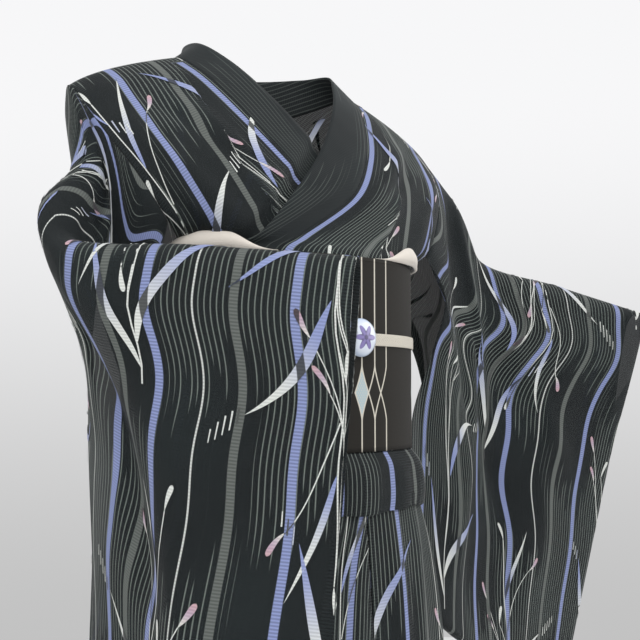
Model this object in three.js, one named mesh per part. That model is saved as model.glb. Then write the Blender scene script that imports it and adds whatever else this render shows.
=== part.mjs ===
// A woman's summer kimono in see-through striped cloth, worn and belted, as a hollow form.
// Millimetres, +Z up, the wearer faces -Y and the wearer's left is +X.
// The origin is the middle of the shoulder line, where the wearer's shoulders hold it up.

import * as THREE from 'three';

// Driving dimensions
const WALL = 1.5;               // cloth with its seam allowances
const SEAM = 0.4;               // half the slit left along a sewn edge
const ROUND = 2.3;              // exponent of the body's rounded cross sections
const HEM_Z = -1330;
const SLEEVE_DROP = 485;        // fold to bottom edge
const CUFF_OPENING = 230;       // open part of the sleeve's outer edge
const BELT = { top: -212, bottom: -384, half: 134, front: 134, back: 111, wall: 3.6 };
const TUCK = { bottom: -437, wall: 2.8 };
const CORD = { z: -285, height: 11, wall: 2.4, back: 119.6 };
const BROOCH = { z: -284, radius: 17, height: 8 };
const BELT_END = { from: 152, to: 208, top: -207, bottom: -380, wall: 3 };

// Cloth colours
const BLACK_CLOTH = { color: 0x272d31, roughness: 0.8, metalness: 0 };
const BELT_CLOTH = { color: 0x302c26, roughness: 0.7, metalness: 0 };
const SCARF_CLOTH = { color: 0xd9cbb8, roughness: 0.8, metalness: 0 };
const CORD_CLOTH = { color: 0xe6dccb, roughness: 0.7, metalness: 0 };
const GLASS = { color: 0xb9c3e0, roughness: 0.2, metalness: 0 };

// Sections of one half of the upper body, from inside the belt in front, over the shoulder, to
// inside the belt behind. inner is the edge at the collar or the centre back and outer the edge at
// the armhole or the side. half and deep are the section's half width and its depth from side.
// neckX and lift place the collar's free edge: along the section, then raised.
const BODY_ROWS = [
  { innerX: -84, innerZ: -298, outerX: 129.4, outerZ: -298, half: 129.4, deep: -128.2, side: -0.5 },
  { innerX: -78, innerZ: -250, outerX: 129.4, outerZ: -250, half: 129.4, deep: -128.2, side: -0.5,
    neckX: -112, lift: 0 },
  { innerX: -71, innerZ: -210, outerX: 126, outerZ: -210, half: 129.4, deep: -128.2, side: -0.5,
    neckX: -103, lift: 0 },
  { innerX: -54, innerZ: -198, outerX: 152, outerZ: -190, half: 174, deep: -119, side: 0,
    neckX: -89, lift: 0 },
  { innerX: 20, innerZ: -150, outerX: 178, outerZ: -150, half: 205, deep: -104, side: 0,
    neckX: -43, lift: 0 },
  { innerX: 57, innerZ: -105, outerX: 197, outerZ: -118, half: 220, deep: -83, side: 0,
    neckX: 0, lift: 0 },
  { innerX: 83, innerZ: -62, outerX: 207, outerZ: -92, half: 226, deep: -54, side: 1,
    neckX: 40, lift: 10 },
  { innerX: 99, innerZ: -34, outerX: 211, outerZ: -74, half: 226, deep: -27, side: 2,
    neckX: 63, lift: 15 },
  { innerX: 107, innerZ: -18, outerX: 212, outerZ: -66, half: 226, deep: 0, side: 4,
    neckX: 80, lift: 20 },
  { innerX: 87, innerZ: -26, outerX: 206, outerZ: -72, half: 222, deep: 40, side: 4,
    neckX: 76, lift: 34 },
  { innerX: 50, innerZ: -40, outerX: 199, outerZ: -86, half: 218, deep: 70, side: 3,
    neckX: 46, lift: 47 },
  { innerX: 0, innerZ: -50, outerX: 191, outerZ: -104, half: 212, deep: 83, side: 2,
    neckX: 0, lift: 52 },
  { innerX: 0, innerZ: -98, outerX: 178, outerZ: -138, half: 202, deep: 96, side: 1 },
  { innerX: 0, innerZ: -150, outerX: 162, outerZ: -170, half: 188, deep: 102, side: 0 },
  { innerX: 0, innerZ: -198, outerX: 148, outerZ: -192, half: 170, deep: 105, side: 0 },
  { innerX: 0, innerZ: -210, outerX: 126, outerZ: -210, half: 129.4, deep: 106, side: 0.5 },
  { innerX: 0, innerZ: -250, outerX: 129.4, outerZ: -250, half: 129.4, deep: 106, side: 0.5 },
  { innerX: 0, innerZ: -298, outerX: 129.4, outerZ: -298, half: 129.4, deep: 106, side: 0.5 },
];
const FIRST_COLLAR_ROW = 1;
const FRONT_ARMHOLE_ROW = 3;
const RIDGE_ROW = 8;
const BACK_NECK_ROW = 11;
const BACK_ARMHOLE_ROW = 14;

// Rings of each sleeve from the armhole to the cuff. top lies on the upper fold, middle a third of
// the way down and foot on the bottom edge. facing is the direction in degrees in which the front
// layer lies, and arm, hang and low are half the distance between the layers at those depths.
const RIGHT_SLEEVE = [
  { top: [-212, 5, -66], middle: [-182, 0, -250], foot: [-184, -4, -558],
    facing: -90, arm: 30, hang: 40, low: 6 },
  { top: [-203, -14, -128], middle: [-186, -20, -320], foot: [-182, -20, -600],
    facing: -60, arm: 17, hang: 16, low: 7 },
  { top: [-241, -40, -175], middle: [-196, -48, -330], foot: [-177, -54, -640],
    facing: -26, arm: 16, hang: 14, low: 7 },
  { top: [-243, -66, -210], middle: [-192, -76, -356], foot: [-170, -88, -680],
    facing: 12, arm: 16, hang: 14, low: 7 },
  { top: [-178, -152, -221], middle: [-170, -152, -382], foot: [-182, -136, -700],
    facing: 40, arm: 20, hang: 17, low: 6 },
  { top: [-97, -245, -233], middle: [-104, -236, -393], foot: [-119, -220, -712],
    facing: 41, arm: 18, hang: 2.7, low: 2.7 },
];
const LEFT_SLEEVE = [
  { top: [212, 5, -66], middle: [190, 0, -250], foot: [208, 0, -562],
    facing: -90, arm: 30, hang: 40, low: 6 },
  { top: [264, 13, -107], middle: [262, 6, -280], foot: [262, 16, -602],
    facing: -88, arm: 28, hang: 26, low: 8 },
  { top: [315, 12, -171], middle: [322, 16, -330], foot: [332, 38, -638],
    facing: -100, arm: 26, hang: 20, low: 8 },
  { top: [417, -32, -201], middle: [424, -8, -355], foot: [440, 48, -662],
    facing: -114, arm: 24, hang: 15, low: 6 },
  { top: [519, -79, -231], middle: [529, -34, -382], foot: [550, 58, -682],
    facing: -115, arm: 20, hang: 2.7, low: 2.7 },
];
const MIDDLE_DEPTH = 1 / 3;

// The free inner edge of each sleeve's front and back layer, from the end of the armhole down
const RIGHT_FREE_EDGE = {
  front: [{ x: -164, y: -54, z: -240 }, { x: -166, y: -38, z: -330 }, { x: -174, y: -18, z: -440 }],
  back: [{ x: -165, y: 50, z: -250 }, { x: -166, y: 32, z: -350 }, { x: -176, y: 14, z: -450 }],
};
const LEFT_FREE_EDGE = {
  front: [{ x: 197, y: -52, z: -230 }, { x: 194, y: -34, z: -290 }, { x: 182, y: -14, z: -366 }],
  back: [{ x: 222, y: 54, z: -222 }, { x: 254, y: 44, z: -268 }, { x: 234, y: 26, z: -366 }],
};

// The largest folds of each sleeve. from and to count rings from the armhole and part of the depth,
// and push moves that layer outwards across the given half width in millimetres.
const RIGHT_FOLDS = [
  { layer: -1, from: [2.7, 0.16], to: [3.5, 0.62], width: 26, push: -11 },
  { layer: -1, from: [3.35, 0.05], to: [4.1, 0.9], width: 34, push: 8 },
  { layer: -1, from: [4.45, 0.3], to: [4.2, 0.98], width: 26, push: -5 },
  { layer: 1, from: [1.5, 0.12], to: [0.4, 0.3], width: 22, push: -6 },
];
const LEFT_FOLDS = [
  { layer: 1, from: [0.5, 0.1], to: [1.3, 0.55], width: 24, push: -9 },
  { layer: 1, from: [1.5, 0.12], to: [1.1, 0.9], width: 28, push: 8 },
  { layer: 1, from: [2.1, 0.08], to: [2.4, 0.9], width: 26, push: -7 },
  { layer: 1, from: [3.1, 0.15], to: [2.9, 0.95], width: 28, push: 6 },
  { layer: -1, from: [1.2, 0.2], to: [1.8, 0.9], width: 34, push: 8 },
];

// Cross sections of the skirt from inside the belt to the hem
const SKIRT_ROWS = [
  { z: -298.7, half: 129.4, front: 129, back: 106 },
  { z: -386, half: 129, front: 128.5, back: 106 },
  { z: -400, half: 136, front: 131, back: 108 },
  { z: -437, half: 143.4, front: 135.4, back: 115.4 },
  { z: -480, half: 156, front: 139, back: 120 },
  { z: -555, half: 167, front: 144, back: 128 },
  { z: -640, half: 175, front: 145, back: 132 },
  { z: -780, half: 178, front: 142, back: 130 },
  { z: -1000, half: 172, front: 134, back: 122 },
  { z: -1180, half: 168, front: 128, back: 115 },
  { z: HEM_Z, half: 168, front: 126, back: 112 },
];

// Cross sections of the fold of cloth that hangs out under the belt
const TUCK_ROWS = [
  { z: BELT.bottom - SEAM, half: 133, front: 133, back: 110 },
  { z: -396, half: 142, front: 139, back: 117 },
  { z: -418, half: 148, front: 141, back: 121 },
  { z: TUCK.bottom, half: 147, front: 139, back: 119 },
];

const smooth = (low, high, value) => THREE.MathUtils.smoothstep(value, low, high);
const mix = THREE.MathUtils.lerp;
const vector = (x, y, z) => new THREE.Vector3(x, y, z);
const none = () => null;

// A wall of cloth between a grid of points and the same points moved inwards along the normals.
// Rows run along the piece and columns across it; loop joins the last column to the first.
// acrossAt and alongAt may give a direction to use in place of the grid's own at an edge.
function wallOf(grid, { wall = WALL, loop = false, acrossAt = none, alongAt = none, inwards }) {
  const rows = grid.length;
  const columns = grid[0].length;
  const neighbour = (j) => (loop ? (j + columns) % columns : THREE.MathUtils.clamp(j, 0, columns - 1));
  const inner = grid.map((row, i) => row.map((point, j) => {
    const along = alongAt(i, j)
      ?? vector().subVectors(grid[Math.min(i + 1, rows - 1)][j], grid[Math.max(i - 1, 0)][j]);
    const across = acrossAt(i, j) ?? vector().subVectors(row[neighbour(j + 1)], row[neighbour(j - 1)]);
    const normal = vector().crossVectors(along, across).normalize();
    return point.clone().addScaledVector(normal, wall * inwards);
  }));
  const positions = [...grid.flat(), ...inner.flat()].flatMap((point) => point.toArray());
  const back = rows * columns;
  const index = [];
  const quad = (a, b, c, d) => index.push(a, b, c, a, c, d);
  const spans = loop ? columns : columns - 1;
  for (let i = 0; i < rows - 1; i += 1) {
    for (let j = 0; j < spans; j += 1) {
      const a = i * columns + j;
      const b = i * columns + neighbour(j + 1);
      quad(a, b, b + columns, a + columns);
      quad(back + a, back + a + columns, back + b + columns, back + b);
    }
  }
  for (let j = 0; j < spans; j += 1) {
    const first = neighbour(j + 1);
    const last = (rows - 1) * columns;
    quad(j, back + j, back + first, first);
    quad(last + j, last + first, back + last + first, back + last + j);
  }
  if (!loop) {
    for (let i = 0; i < rows - 1; i += 1) {
      const left = i * columns;
      const right = left + columns - 1;
      quad(left, left + columns, back + left + columns, back + left);
      quad(right, back + right, back + right + columns, right + columns);
    }
  }
  return closedGeometry(positions, index);
}

// A geometry with its faces turned outwards, which its signed volume shows
function closedGeometry(positions, index) {
  let volume = 0;
  const at = (k) => vector().fromArray(positions, 3 * k);
  for (let k = 0; k < index.length; k += 3) {
    volume += at(index[k]).dot(at(index[k + 1]).cross(at(index[k + 2])));
  }
  if (volume < 0) index.reverse();
  const geometry = new THREE.BufferGeometry();
  geometry.setAttribute('position', new THREE.Float32BufferAttribute(positions, 3));
  geometry.setIndex(index);
  geometry.computeVertexNormals();
  return geometry;
}

// A smooth column through the same point of every row, with the given steps between two rows
function throughRows(points, steps) {
  const curve = new THREE.CatmullRomCurve3(points, false, 'centripetal');
  const spans = points.length - 1;
  return Array.from({ length: spans * steps + 1 }, (_, k) => curve.getPoint(k / (spans * steps)));
}

// Values of a table worked out between its rows, at a given z
function rowAt(table, z) {
  const k = THREE.MathUtils.clamp(table.findIndex((row) => row.z <= z), 1, table.length - 1);
  const upper = table[k - 1];
  const lower = table[k];
  const t = THREE.MathUtils.clamp((upper.z - z) / (upper.z - lower.z), 0, 1);
  return Object.fromEntries(Object.keys(upper).map((key) => [key, mix(upper[key], lower[key], t)]));
}

// A point of a rounded section at an angle from the front, positive towards the wearer's left
function sectionPoint({ half, front, back }, degrees, z, inset = 0) {
  const angle = THREE.MathUtils.degToRad(degrees);
  const power = (value) => Math.sign(value) * Math.abs(value) ** (2 / ROUND);
  const depth = Math.cos(angle) > 0 ? front : back;
  return vector((half - inset) * power(Math.sin(angle)), -(depth - inset) * power(Math.cos(angle)), z);
}

// Upper body. One half is worked out for the left and mirrored for the right.
const BODY_COLUMNS = 11;
const BODY_STEPS = 2;
const COLLAR_WIDTH = 40;        // along the section, where its table names no edge

// The point of a body row whose x is given, on the row's rounded section
function bodySurface(row, x, z) {
  const reach = Math.min(Math.abs(x / row.half), 1);
  return vector(x, row.side + row.deep * (1 - reach ** ROUND) ** (1 / ROUND), z);
}

// How far a point of the right half lies inside the left half that laps over it
const LAP_DEPTH = 8;
const LAP_SLOPE = 0.96;         // how far the left edge moves across for each millimetre down
const LAP_REACH = 113;          // and where it ends inside the belt
const LAP_FADE = 24;            // beyond that edge the right half comes out again over this width
const BELT_LAP_FADE = 14;       // and over this width near the side
const NECK_POINT_Z = -105;
const FRONT_Y = -20;
function lapUnder(point) {
  const edge = Math.min((NECK_POINT_Z - point.z) * LAP_SLOPE, LAP_REACH);
  const fade = edge > 100 ? BELT_LAP_FADE : LAP_FADE;
  return point.y < FRONT_Y ? LAP_DEPTH * (1 - smooth(edge + 1, edge + fade, point.x)) : 0;
}

function bodyColumn(u) {
  return throughRows(BODY_ROWS.map((row) => {
    const angleAt = (x) => Math.asin(Math.sign(x) * Math.abs(x / row.half) ** (ROUND / 2));
    const angle = mix(angleAt(row.innerX), angleAt(row.outerX), u);
    const x = Math.sign(angle) * row.half * Math.abs(Math.sin(angle)) ** (2 / ROUND);
    return bodySurface(row, x, mix(row.innerZ, row.outerZ, u));
  }), BODY_STEPS);
}

function collarColumn(w) {
  return throughRows(BODY_ROWS.slice(0, BACK_NECK_ROW + 1).map((row) => {
    const { neckX = row.innerX - COLLAR_WIDTH, lift = 0 } = row;
    return bodySurface(row, mix(row.innerX, neckX, w), row.innerZ + lift * w);
  }), BODY_STEPS);
}

const transpose = (columns) => columns[0].map((_, i) => columns.map((column) => column[i]));
const bodyColumns = Array.from({ length: BODY_COLUMNS }, (_, j) => bodyColumn(j / (BODY_COLUMNS - 1)));
const halfBody = transpose(bodyColumns);
const halfCollar = transpose([0, 1 / 3, 2 / 3, 1].map(collarColumn));

// The half on one side: mirrored for the right, and there moved under the left half
function onSide(grid, side) {
  return grid.map((row) => row.map((point) => {
    const y = side < 0 ? point.y + lapUnder(point) : point.y;
    return vector(point.x * side, y, point.z);
  }));
}

function bodyPanel(side) {
  const grid = onSide(halfBody, side);
  const collar = onSide(halfCollar, side);
  const neckEnd = BACK_NECK_ROW * BODY_STEPS;
  const armholeStart = FRONT_ARMHOLE_ROW * BODY_STEPS;
  const armholeEnd = BACK_ARMHOLE_ROW * BODY_STEPS;
  const seamAcross = (i, j) => {
    if (j === 0 && i < neckEnd) return vector().subVectors(grid[i][1], collar[i][1]);
    if (j === BODY_COLUMNS - 1 && i >= armholeStart && i <= armholeEnd) return vector(side, 0, 0);
    return null;
  };
  const sewn = grid.map((row, i) => row.map((point, j) => {
    if (j === 0 && i >= neckEnd) return vector(side * SEAM, point.y, point.z);
    return point;
  }));
  return wallOf(sewn, { acrossAt: seamAcross, inwards: side });
}

// The wider slit under the part of the collar that stands up behind the neck, over its last points
const NECK_SEAM = 3.2;
const NECK_SEAM_POINTS = 5;

// The collar runs from inside the belt on the right, behind the neck, to inside it on the left
function collarBand() {
  const half = (side) => {
    const body = onSide(halfBody, side);
    const collar = onSide(halfCollar, side);
    const first = FIRST_COLLAR_ROW * BODY_STEPS;
    const last = BACK_NECK_ROW * BODY_STEPS;
    return collar.slice(first, last + 1).map((row, k) => {
      const slit = k > last - first - NECK_SEAM_POINTS ? NECK_SEAM : 2 * SEAM;
      const towards = vector().subVectors(row[3], row[0]).setLength(slit);
      const across = vector().subVectors(body[first + k][1], row[1]).multiplyScalar(-1);
      return { points: [row[0].clone().add(towards), row[1], row[2], row[3]], across };
    });
  };
  const right = half(-1);
  const left = half(1).reverse().slice(1);
  const rows = [...right, ...left];
  const grid = rows.map((row) => row.points);
  return wallOf(grid, {
    acrossAt: (i, j) => (j === 0 && i !== right.length - 1 ? rows[i].across : null),
    inwards: 1,
  });
}

// Sleeves. A ring goes down the front layer from the fold, round the bottom edge and up the back.
const RING_STEPS = 4;
const LOWER_DEPTHS = [0.42, 0.54, 0.66, 0.78, 0.9, 0.965, 0.993];
const CLOSING_DEPTH = 0.9;      // part of the drop at which the layers start to meet at the foot
const FREE_EDGE_ROUNDING = 0.04;

function layerHalf(row, depth, drop) {
  const arch = row.arm * Math.PI / 2;
  if (depth <= arch) return row.arm * Math.sin(depth / row.arm);
  const sewnAt = CUFF_OPENING / SLEEVE_DROP * drop;
  if (depth <= sewnAt) return mix(row.arm, row.hang, smooth(arch, sewnAt, depth));
  const body = mix(row.hang, row.low, smooth(sewnAt, drop * CLOSING_DEPTH, depth));
  const left = THREE.MathUtils.clamp((drop - depth) / row.low, 0, 1);
  return body * Math.sqrt(1 - (1 - left) ** 2);
}

// How far a ring leaves the straight line from top to foot: fully at its middle point
function hangBend(reach) {
  return reach < MIDDLE_DEPTH
    ? smooth(0, MIDDLE_DEPTH, reach)
    : Math.cos((reach - MIDDLE_DEPTH) / (1 - MIDDLE_DEPTH) * Math.PI / 2) ** 1.5;
}

function sleeveRing(row, depths, side) {
  const [top, middle, foot] = [row.top, row.middle, row.foot].map((point) => vector(...point));
  const drop = top.distanceTo(middle) + middle.distanceTo(foot);
  const bend = (reach) => vector().lerpVectors(top, foot, reach)
    .addScaledVector(vector().lerpVectors(top, foot, MIDDLE_DEPTH).sub(middle), -hangBend(reach));
  const facing = THREE.MathUtils.degToRad(row.facing);
  const lateral = vector(Math.cos(facing), Math.sin(facing), 0);
  return depths.map((part) => {
    const depth = part * drop;
    const arch = row.arm * Math.PI / 2;
    const fallen = depth < arch ? row.arm * (1 - Math.cos(depth / row.arm)) : depth - arch + row.arm;
    const reach = fallen / (drop - arch + row.arm);
    return bend(reach).addScaledVector(lateral, side * layerHalf(row, depth, drop));
  });
}

// How far the folds push a layer outwards at a place counted in rings and part of the depth
const RING_WIDTH = 90;
function foldPush(folds, layer, ring, depth) {
  return folds.filter((fold) => fold.layer === layer).reduce((sum, { from, to, width, push }) => {
    const line = new THREE.Vector2((to[0] - from[0]) * RING_WIDTH, (to[1] - from[1]) * SLEEVE_DROP);
    const place = new THREE.Vector2((ring - from[0]) * RING_WIDTH, (depth - from[1]) * SLEEVE_DROP);
    const t = place.dot(line) / line.lengthSq();
    const apart = Math.abs(place.cross(line)) / line.length();
    const fade = smooth(-0.15, 0.2, t) * (1 - smooth(0.8, 1.15, t));
    return sum + push * fade * Math.exp(-((apart / width) ** 2));
  }, 0);
}

function sleeve(rows, side, freeEdge, folds) {
  const edge = onSide(halfBody, side).map((row) => row[BODY_COLUMNS - 1]);
  const ridge = RIDGE_ROW * BODY_STEPS;
  const frontEdge = edge.slice(FRONT_ARMHOLE_ROW * BODY_STEPS, ridge).reverse();
  const backEdge = edge.slice(ridge + 1, BACK_ARMHOLE_ROW * BODY_STEPS + 1);
  const shift = vector(side * 2 * SEAM, 0, 0);
  const foot = vector(...rows[0].foot);
  const lengths = (points) => {
    let total = 0;
    return points.map((point, k) => {
      total += point.distanceTo(k === 0 ? edge[ridge] : points[k - 1]);
      return total / SLEEVE_DROP;
    });
  };
  const frontDepths = [...lengths(frontEdge), ...LOWER_DEPTHS];
  const backDepths = [...lengths(backEdge), ...LOWER_DEPTHS];
  const sewnLayer = (points, depths, layer, edgePoints) => {
    const start = points[points.length - 1];
    const startDepth = depths[points.length - 1];
    const end = foot.clone().add(vector(0, -layer * rows[0].low, 0));
    const via = edgePoints.map(({ x, y, z }) => vector(x, y, z));
    const path = new THREE.CatmullRomCurve3([start, ...via, end], false, 'centripetal');
    const hanging = depths.slice(points.length).map((depth) => {
      const rounding = 1 - 0.6 * smooth(1 - FREE_EDGE_ROUNDING, 1, depth);
      const point = path.getPointAt((depth - startDepth) / (1 - startDepth));
      point.y = mix(foot.y, point.y, rounding);
      return point;
    });
    return [...points, ...hanging].map((point) => point.clone().add(shift));
  };
  const ringOf = (front, back, top, bottom) => [top, ...front, bottom, ...back.slice().reverse()];
  const stations = rows.map((row, k) => {
    if (k === 0) {
      return ringOf(sewnLayer(frontEdge, frontDepths, 1, freeEdge.front),
        sewnLayer(backEdge, backDepths, -1, freeEdge.back),
        edge[ridge].clone().add(shift), foot.clone().add(shift));
    }
    return ringOf(sleeveRing(row, frontDepths, 1), sleeveRing(row, backDepths, -1),
      vector(...row.top), vector(...row.foot));
  });
  const columns = stations[0].map((_, j) => throughRows(stations.map((ring) => ring[j]), RING_STEPS));
  const count = frontDepths.length;
  const ringDepths = [0, ...frontDepths, 1, ...backDepths.slice().reverse()];
  const grid = transpose(columns).map((ring, i) => ring.map((point, j) => {
    const layer = j <= count ? 1 : -1;
    const depth = ringDepths[j];
    const place = i / RING_STEPS;
    const row = Math.min(Math.floor(place), rows.length - 2);
    const facing = THREE.MathUtils.degToRad(mix(rows[row].facing, rows[row + 1].facing, place - row));
    const push = layer * foldPush(folds, layer, place, depth) * smooth(0, 0.5, place);
    return point.clone().addScaledVector(vector(Math.cos(facing), Math.sin(facing), 0), push);
  }));
  return wallOf(grid, {
    loop: true,
    alongAt: (i) => (i === 0 ? vector(side, 0, 0) : null),
    inwards: side,
  });
}

// Skirt panels between two angles, wrapped from the side seams to the front and lapped left over right
const SKIRT_STEP = 9;
const SKIRT_Z_STEP = 110;
const PANEL_GAP = 0.16;         // degrees left at each side edge
const UNDER_INSET = 2.8;        // of the right front inside the left
const UNDER_FROM = -88;         // the inset grows between these angles from the right side seam
const UNDER_TO = -68;
const MIDDLE_SEAM = 2;          // angle of the seam between front and overlap panel
const LAP_ANGLE = 60;           // angle at which each overlap panel ends

function skirtPanel(from, to, insetAt) {
  const heights = SKIRT_ROWS.flatMap((row, k) => {
    const next = SKIRT_ROWS[k + 1];
    if (!next) return [row.z];
    const parts = Math.ceil((row.z - next.z) / SKIRT_Z_STEP);
    return Array.from({ length: parts }, (_, n) => mix(row.z, next.z, n / parts));
  });
  const count = Math.ceil(Math.abs(to - from) / SKIRT_STEP);
  const gap = PANEL_GAP * Math.sign(to - from);
  const grid = heights.map((z) => Array.from({ length: count + 1 }, (_, j) => {
    const angle = mix(from + gap, to - gap, j / count);
    return sectionPoint(rowAt(SKIRT_ROWS, z), angle, z, insetAt(angle));
  }));
  return wallOf(grid, { inwards: Math.sign(from - to) });
}

const flush = () => 0;
const under = (angle) => UNDER_INSET * smooth(UNDER_FROM, UNDER_TO, angle);

// A closed band round the body from a table of sections
const BAND_STEP = 8;
function bandOf(rows, wall) {
  const angles = Array.from({ length: 360 / BAND_STEP }, (_, j) => j * BAND_STEP);
  const grid = rows.map((row) => angles.map((angle) => sectionPoint(row, angle, row.z)));
  return wallOf(grid, { wall, loop: true, inwards: -1 });
}

function beltBand() {
  const { half, front, back, wall } = BELT;
  return bandOf([{ z: BELT.top, half, front, back }, { z: BELT.bottom, half, front, back }], wall);
}

function cordBand() {
  const out = CORD.wall + SEAM;
  const size = { half: BELT.half + out, front: BELT.front + out, back: CORD.back };
  const heights = [CORD.z + CORD.height / 2, CORD.z - CORD.height / 2];
  return bandOf(heights.map((z) => ({ z, ...size })), CORD.wall);
}

// A stretch of the scarf that lies on the belt's top edge outside the body panels, from a front x
// round the side to a back x, tapering to where it is tucked in. high and thick are half its height
// and thickness, and clear its distance from the panels, which grows to three times that at the side.
const SCARF = { faces: 8, steps: 18, pathZ: -205, high: 8, thick: 3.6, clear: 4.4, backX: 96 };
const SCARF_SIDE = { from: 95, to: 122 };
const SCARF_FRONT_X = { right: 72, left: 24 };

function scarfPath(frontX) {
  const crossing = (column) => {
    const below = column.findIndex((point) => point.z > SCARF.pathZ);
    const t = (SCARF.pathZ - column[below - 1].z) / (column[below].z - column[below - 1].z);
    return vector().lerpVectors(column[below - 1], column[below], t);
  };
  const columns = halfBody[0].map((_, j) => halfBody.map((row) => row[j]));
  const front = columns.map(crossing).filter((point) => point.x > frontX);
  const back = columns.map((column) => crossing(column.slice().reverse()))
    .filter((point) => point.x > SCARF.backX).reverse();
  return new THREE.CatmullRomCurve3([...front, ...back].map((point) => point.setZ(0)), false, 'centripetal');
}

function scarfStretch(frontX, side) {
  const path = scarfPath(frontX);
  const grid = Array.from({ length: SCARF.steps + 1 }, (_, i) => {
    const t = i / SCARF.steps;
    const swell = smooth(0, 0.2, t) * (1 - 0.4 * smooth(0.4, 0.55, t));
    const high = SCARF.high * mix(0.3, 1, swell);
    const thick = SCARF.thick * mix(0.5, 1, swell);
    const tangent = path.getTangentAt(t);
    const outwards = vector(-tangent.y, tangent.x, 0).negate();
    const middle = path.getPointAt(t);
    const clear = SCARF.clear * (1 + 2 * smooth(SCARF_SIDE.from, SCARF_SIDE.to, middle.x));
    middle.addScaledVector(outwards, thick + clear);
    return Array.from({ length: SCARF.faces }, (_, k) => {
      const turn = k / SCARF.faces * 2 * Math.PI;
      const point = middle.clone().addScaledVector(outwards, thick * Math.cos(turn));
      return vector(side * point.x, point.y, BELT.top + SEAM + high + high * Math.sin(turn));
    });
  });
  return solidTube(grid);
}

// A closed body through rings of points, with a fan over each end
function solidTube(grid) {
  const count = grid[0].length;
  const middleOf = (ring) => ring.reduce((sum, point) => sum.add(point), vector()).divideScalar(count);
  const points = [...grid.flat(), middleOf(grid[0]), middleOf(grid[grid.length - 1])];
  const index = [];
  for (let i = 0; i < grid.length - 1; i += 1) {
    for (let k = 0; k < count; k += 1) {
      const a = i * count + k;
      const b = i * count + (k + 1) % count;
      index.push(a, b, b + count, a, b + count, a + count);
    }
  }
  const last = (grid.length - 1) * count;
  for (let k = 0; k < count; k += 1) {
    const next = (k + 1) % count;
    index.push(points.length - 2, next, k, points.length - 1, last + k, last + next);
  }
  return closedGeometry(points.flatMap((point) => point.toArray()), index);
}

// The belt's end, which lies flat on the band behind and is held by the cord
function beltEnd() {
  const spans = 10;
  const grid = [BELT_END.top, mix(BELT_END.top, BELT_END.bottom, 0.5), BELT_END.bottom].map((z) => (
    Array.from({ length: spans + 1 }, (_, j) => {
      const angle = mix(BELT_END.from, BELT_END.to, j / spans);
      return sectionPoint(BELT, angle, z, -(BELT_END.wall + 2 * SEAM));
    })
  ));
  return wallOf(grid, { wall: BELT_END.wall, inwards: -1 });
}

// A domed disc: parts of the radius and of the height, from its flat back to its crown
function brooch() {
  const profile = [[0, 0], [0.86, 0], [1, 0.2], [0.94, 0.5], [0.72, 0.8], [0.4, 0.96], [0, 1]];
  const points = profile.map(([r, h]) => new THREE.Vector2(r * BROOCH.radius, h * BROOCH.height));
  const geometry = new THREE.LatheGeometry(points, 24);
  geometry.rotateX(Math.PI);
  return geometry;
}

const kimono = new THREE.Group();
function add(name, geometry, finish) {
  const mesh = new THREE.Mesh(geometry, new THREE.MeshStandardMaterial({ ...finish, side: THREE.DoubleSide }));
  mesh.name = name;
  kimono.add(mesh);
  return mesh;
}

add('body_panel_right', bodyPanel(-1), BLACK_CLOTH);
add('body_panel_left', bodyPanel(1), BLACK_CLOTH);
add('collar', collarBand(), BLACK_CLOTH);
add('sleeve_right', sleeve(RIGHT_SLEEVE, -1, RIGHT_FREE_EDGE, RIGHT_FOLDS), BLACK_CLOTH);
add('sleeve_left', sleeve(LEFT_SLEEVE, 1, LEFT_FREE_EDGE, LEFT_FOLDS), BLACK_CLOTH);
add('skirt_back_right', skirtPanel(-180, -90, flush), BLACK_CLOTH);
add('skirt_back_left', skirtPanel(90, 180, flush), BLACK_CLOTH);
add('skirt_front_right', skirtPanel(-90, -MIDDLE_SEAM, under), BLACK_CLOTH);
add('overlap_right', skirtPanel(-MIDDLE_SEAM, LAP_ANGLE, under), BLACK_CLOTH);
add('skirt_front_left', skirtPanel(MIDDLE_SEAM, 90, flush), BLACK_CLOTH);
add('overlap_left', skirtPanel(-LAP_ANGLE, MIDDLE_SEAM, flush), BLACK_CLOTH);
add('waist_tuck', bandOf(TUCK_ROWS, TUCK.wall), BLACK_CLOTH);
add('belt_band', beltBand(), BELT_CLOTH);
add('belt_cord', cordBand(), CORD_CLOTH);
add('scarf_right', scarfStretch(SCARF_FRONT_X.right, -1), SCARF_CLOTH);
add('scarf_left', scarfStretch(SCARF_FRONT_X.left, 1), SCARF_CLOTH);
add('belt_end', beltEnd(), BELT_CLOTH);
add('brooch', brooch(), GLASS)
  .position.set(0, -(BELT.front + CORD.wall + 2 * SEAM), BROOCH.z);

export default kimono;
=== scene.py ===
import math

import bpy
import numpy as np
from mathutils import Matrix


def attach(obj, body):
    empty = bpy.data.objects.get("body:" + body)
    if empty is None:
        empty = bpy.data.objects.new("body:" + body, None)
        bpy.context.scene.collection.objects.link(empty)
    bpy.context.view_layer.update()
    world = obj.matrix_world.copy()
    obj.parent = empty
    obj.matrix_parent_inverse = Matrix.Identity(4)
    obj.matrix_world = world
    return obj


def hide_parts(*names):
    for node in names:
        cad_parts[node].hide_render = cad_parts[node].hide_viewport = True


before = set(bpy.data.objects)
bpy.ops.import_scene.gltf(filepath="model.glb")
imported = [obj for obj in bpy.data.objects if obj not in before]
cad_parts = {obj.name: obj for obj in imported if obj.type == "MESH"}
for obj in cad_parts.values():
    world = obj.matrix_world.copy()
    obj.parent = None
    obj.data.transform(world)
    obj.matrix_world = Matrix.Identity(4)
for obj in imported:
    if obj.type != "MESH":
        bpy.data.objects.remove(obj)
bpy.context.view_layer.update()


# The two panels of the upper body. Each is one width of thin black summer cloth that runs from inside
# the belt in front, over the shoulder, to inside the belt behind, with the upper end of the overlap
# panel sewn to its front edge. The left front lies over the right one.
MM = 0.001
WALL = 0.0005
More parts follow.
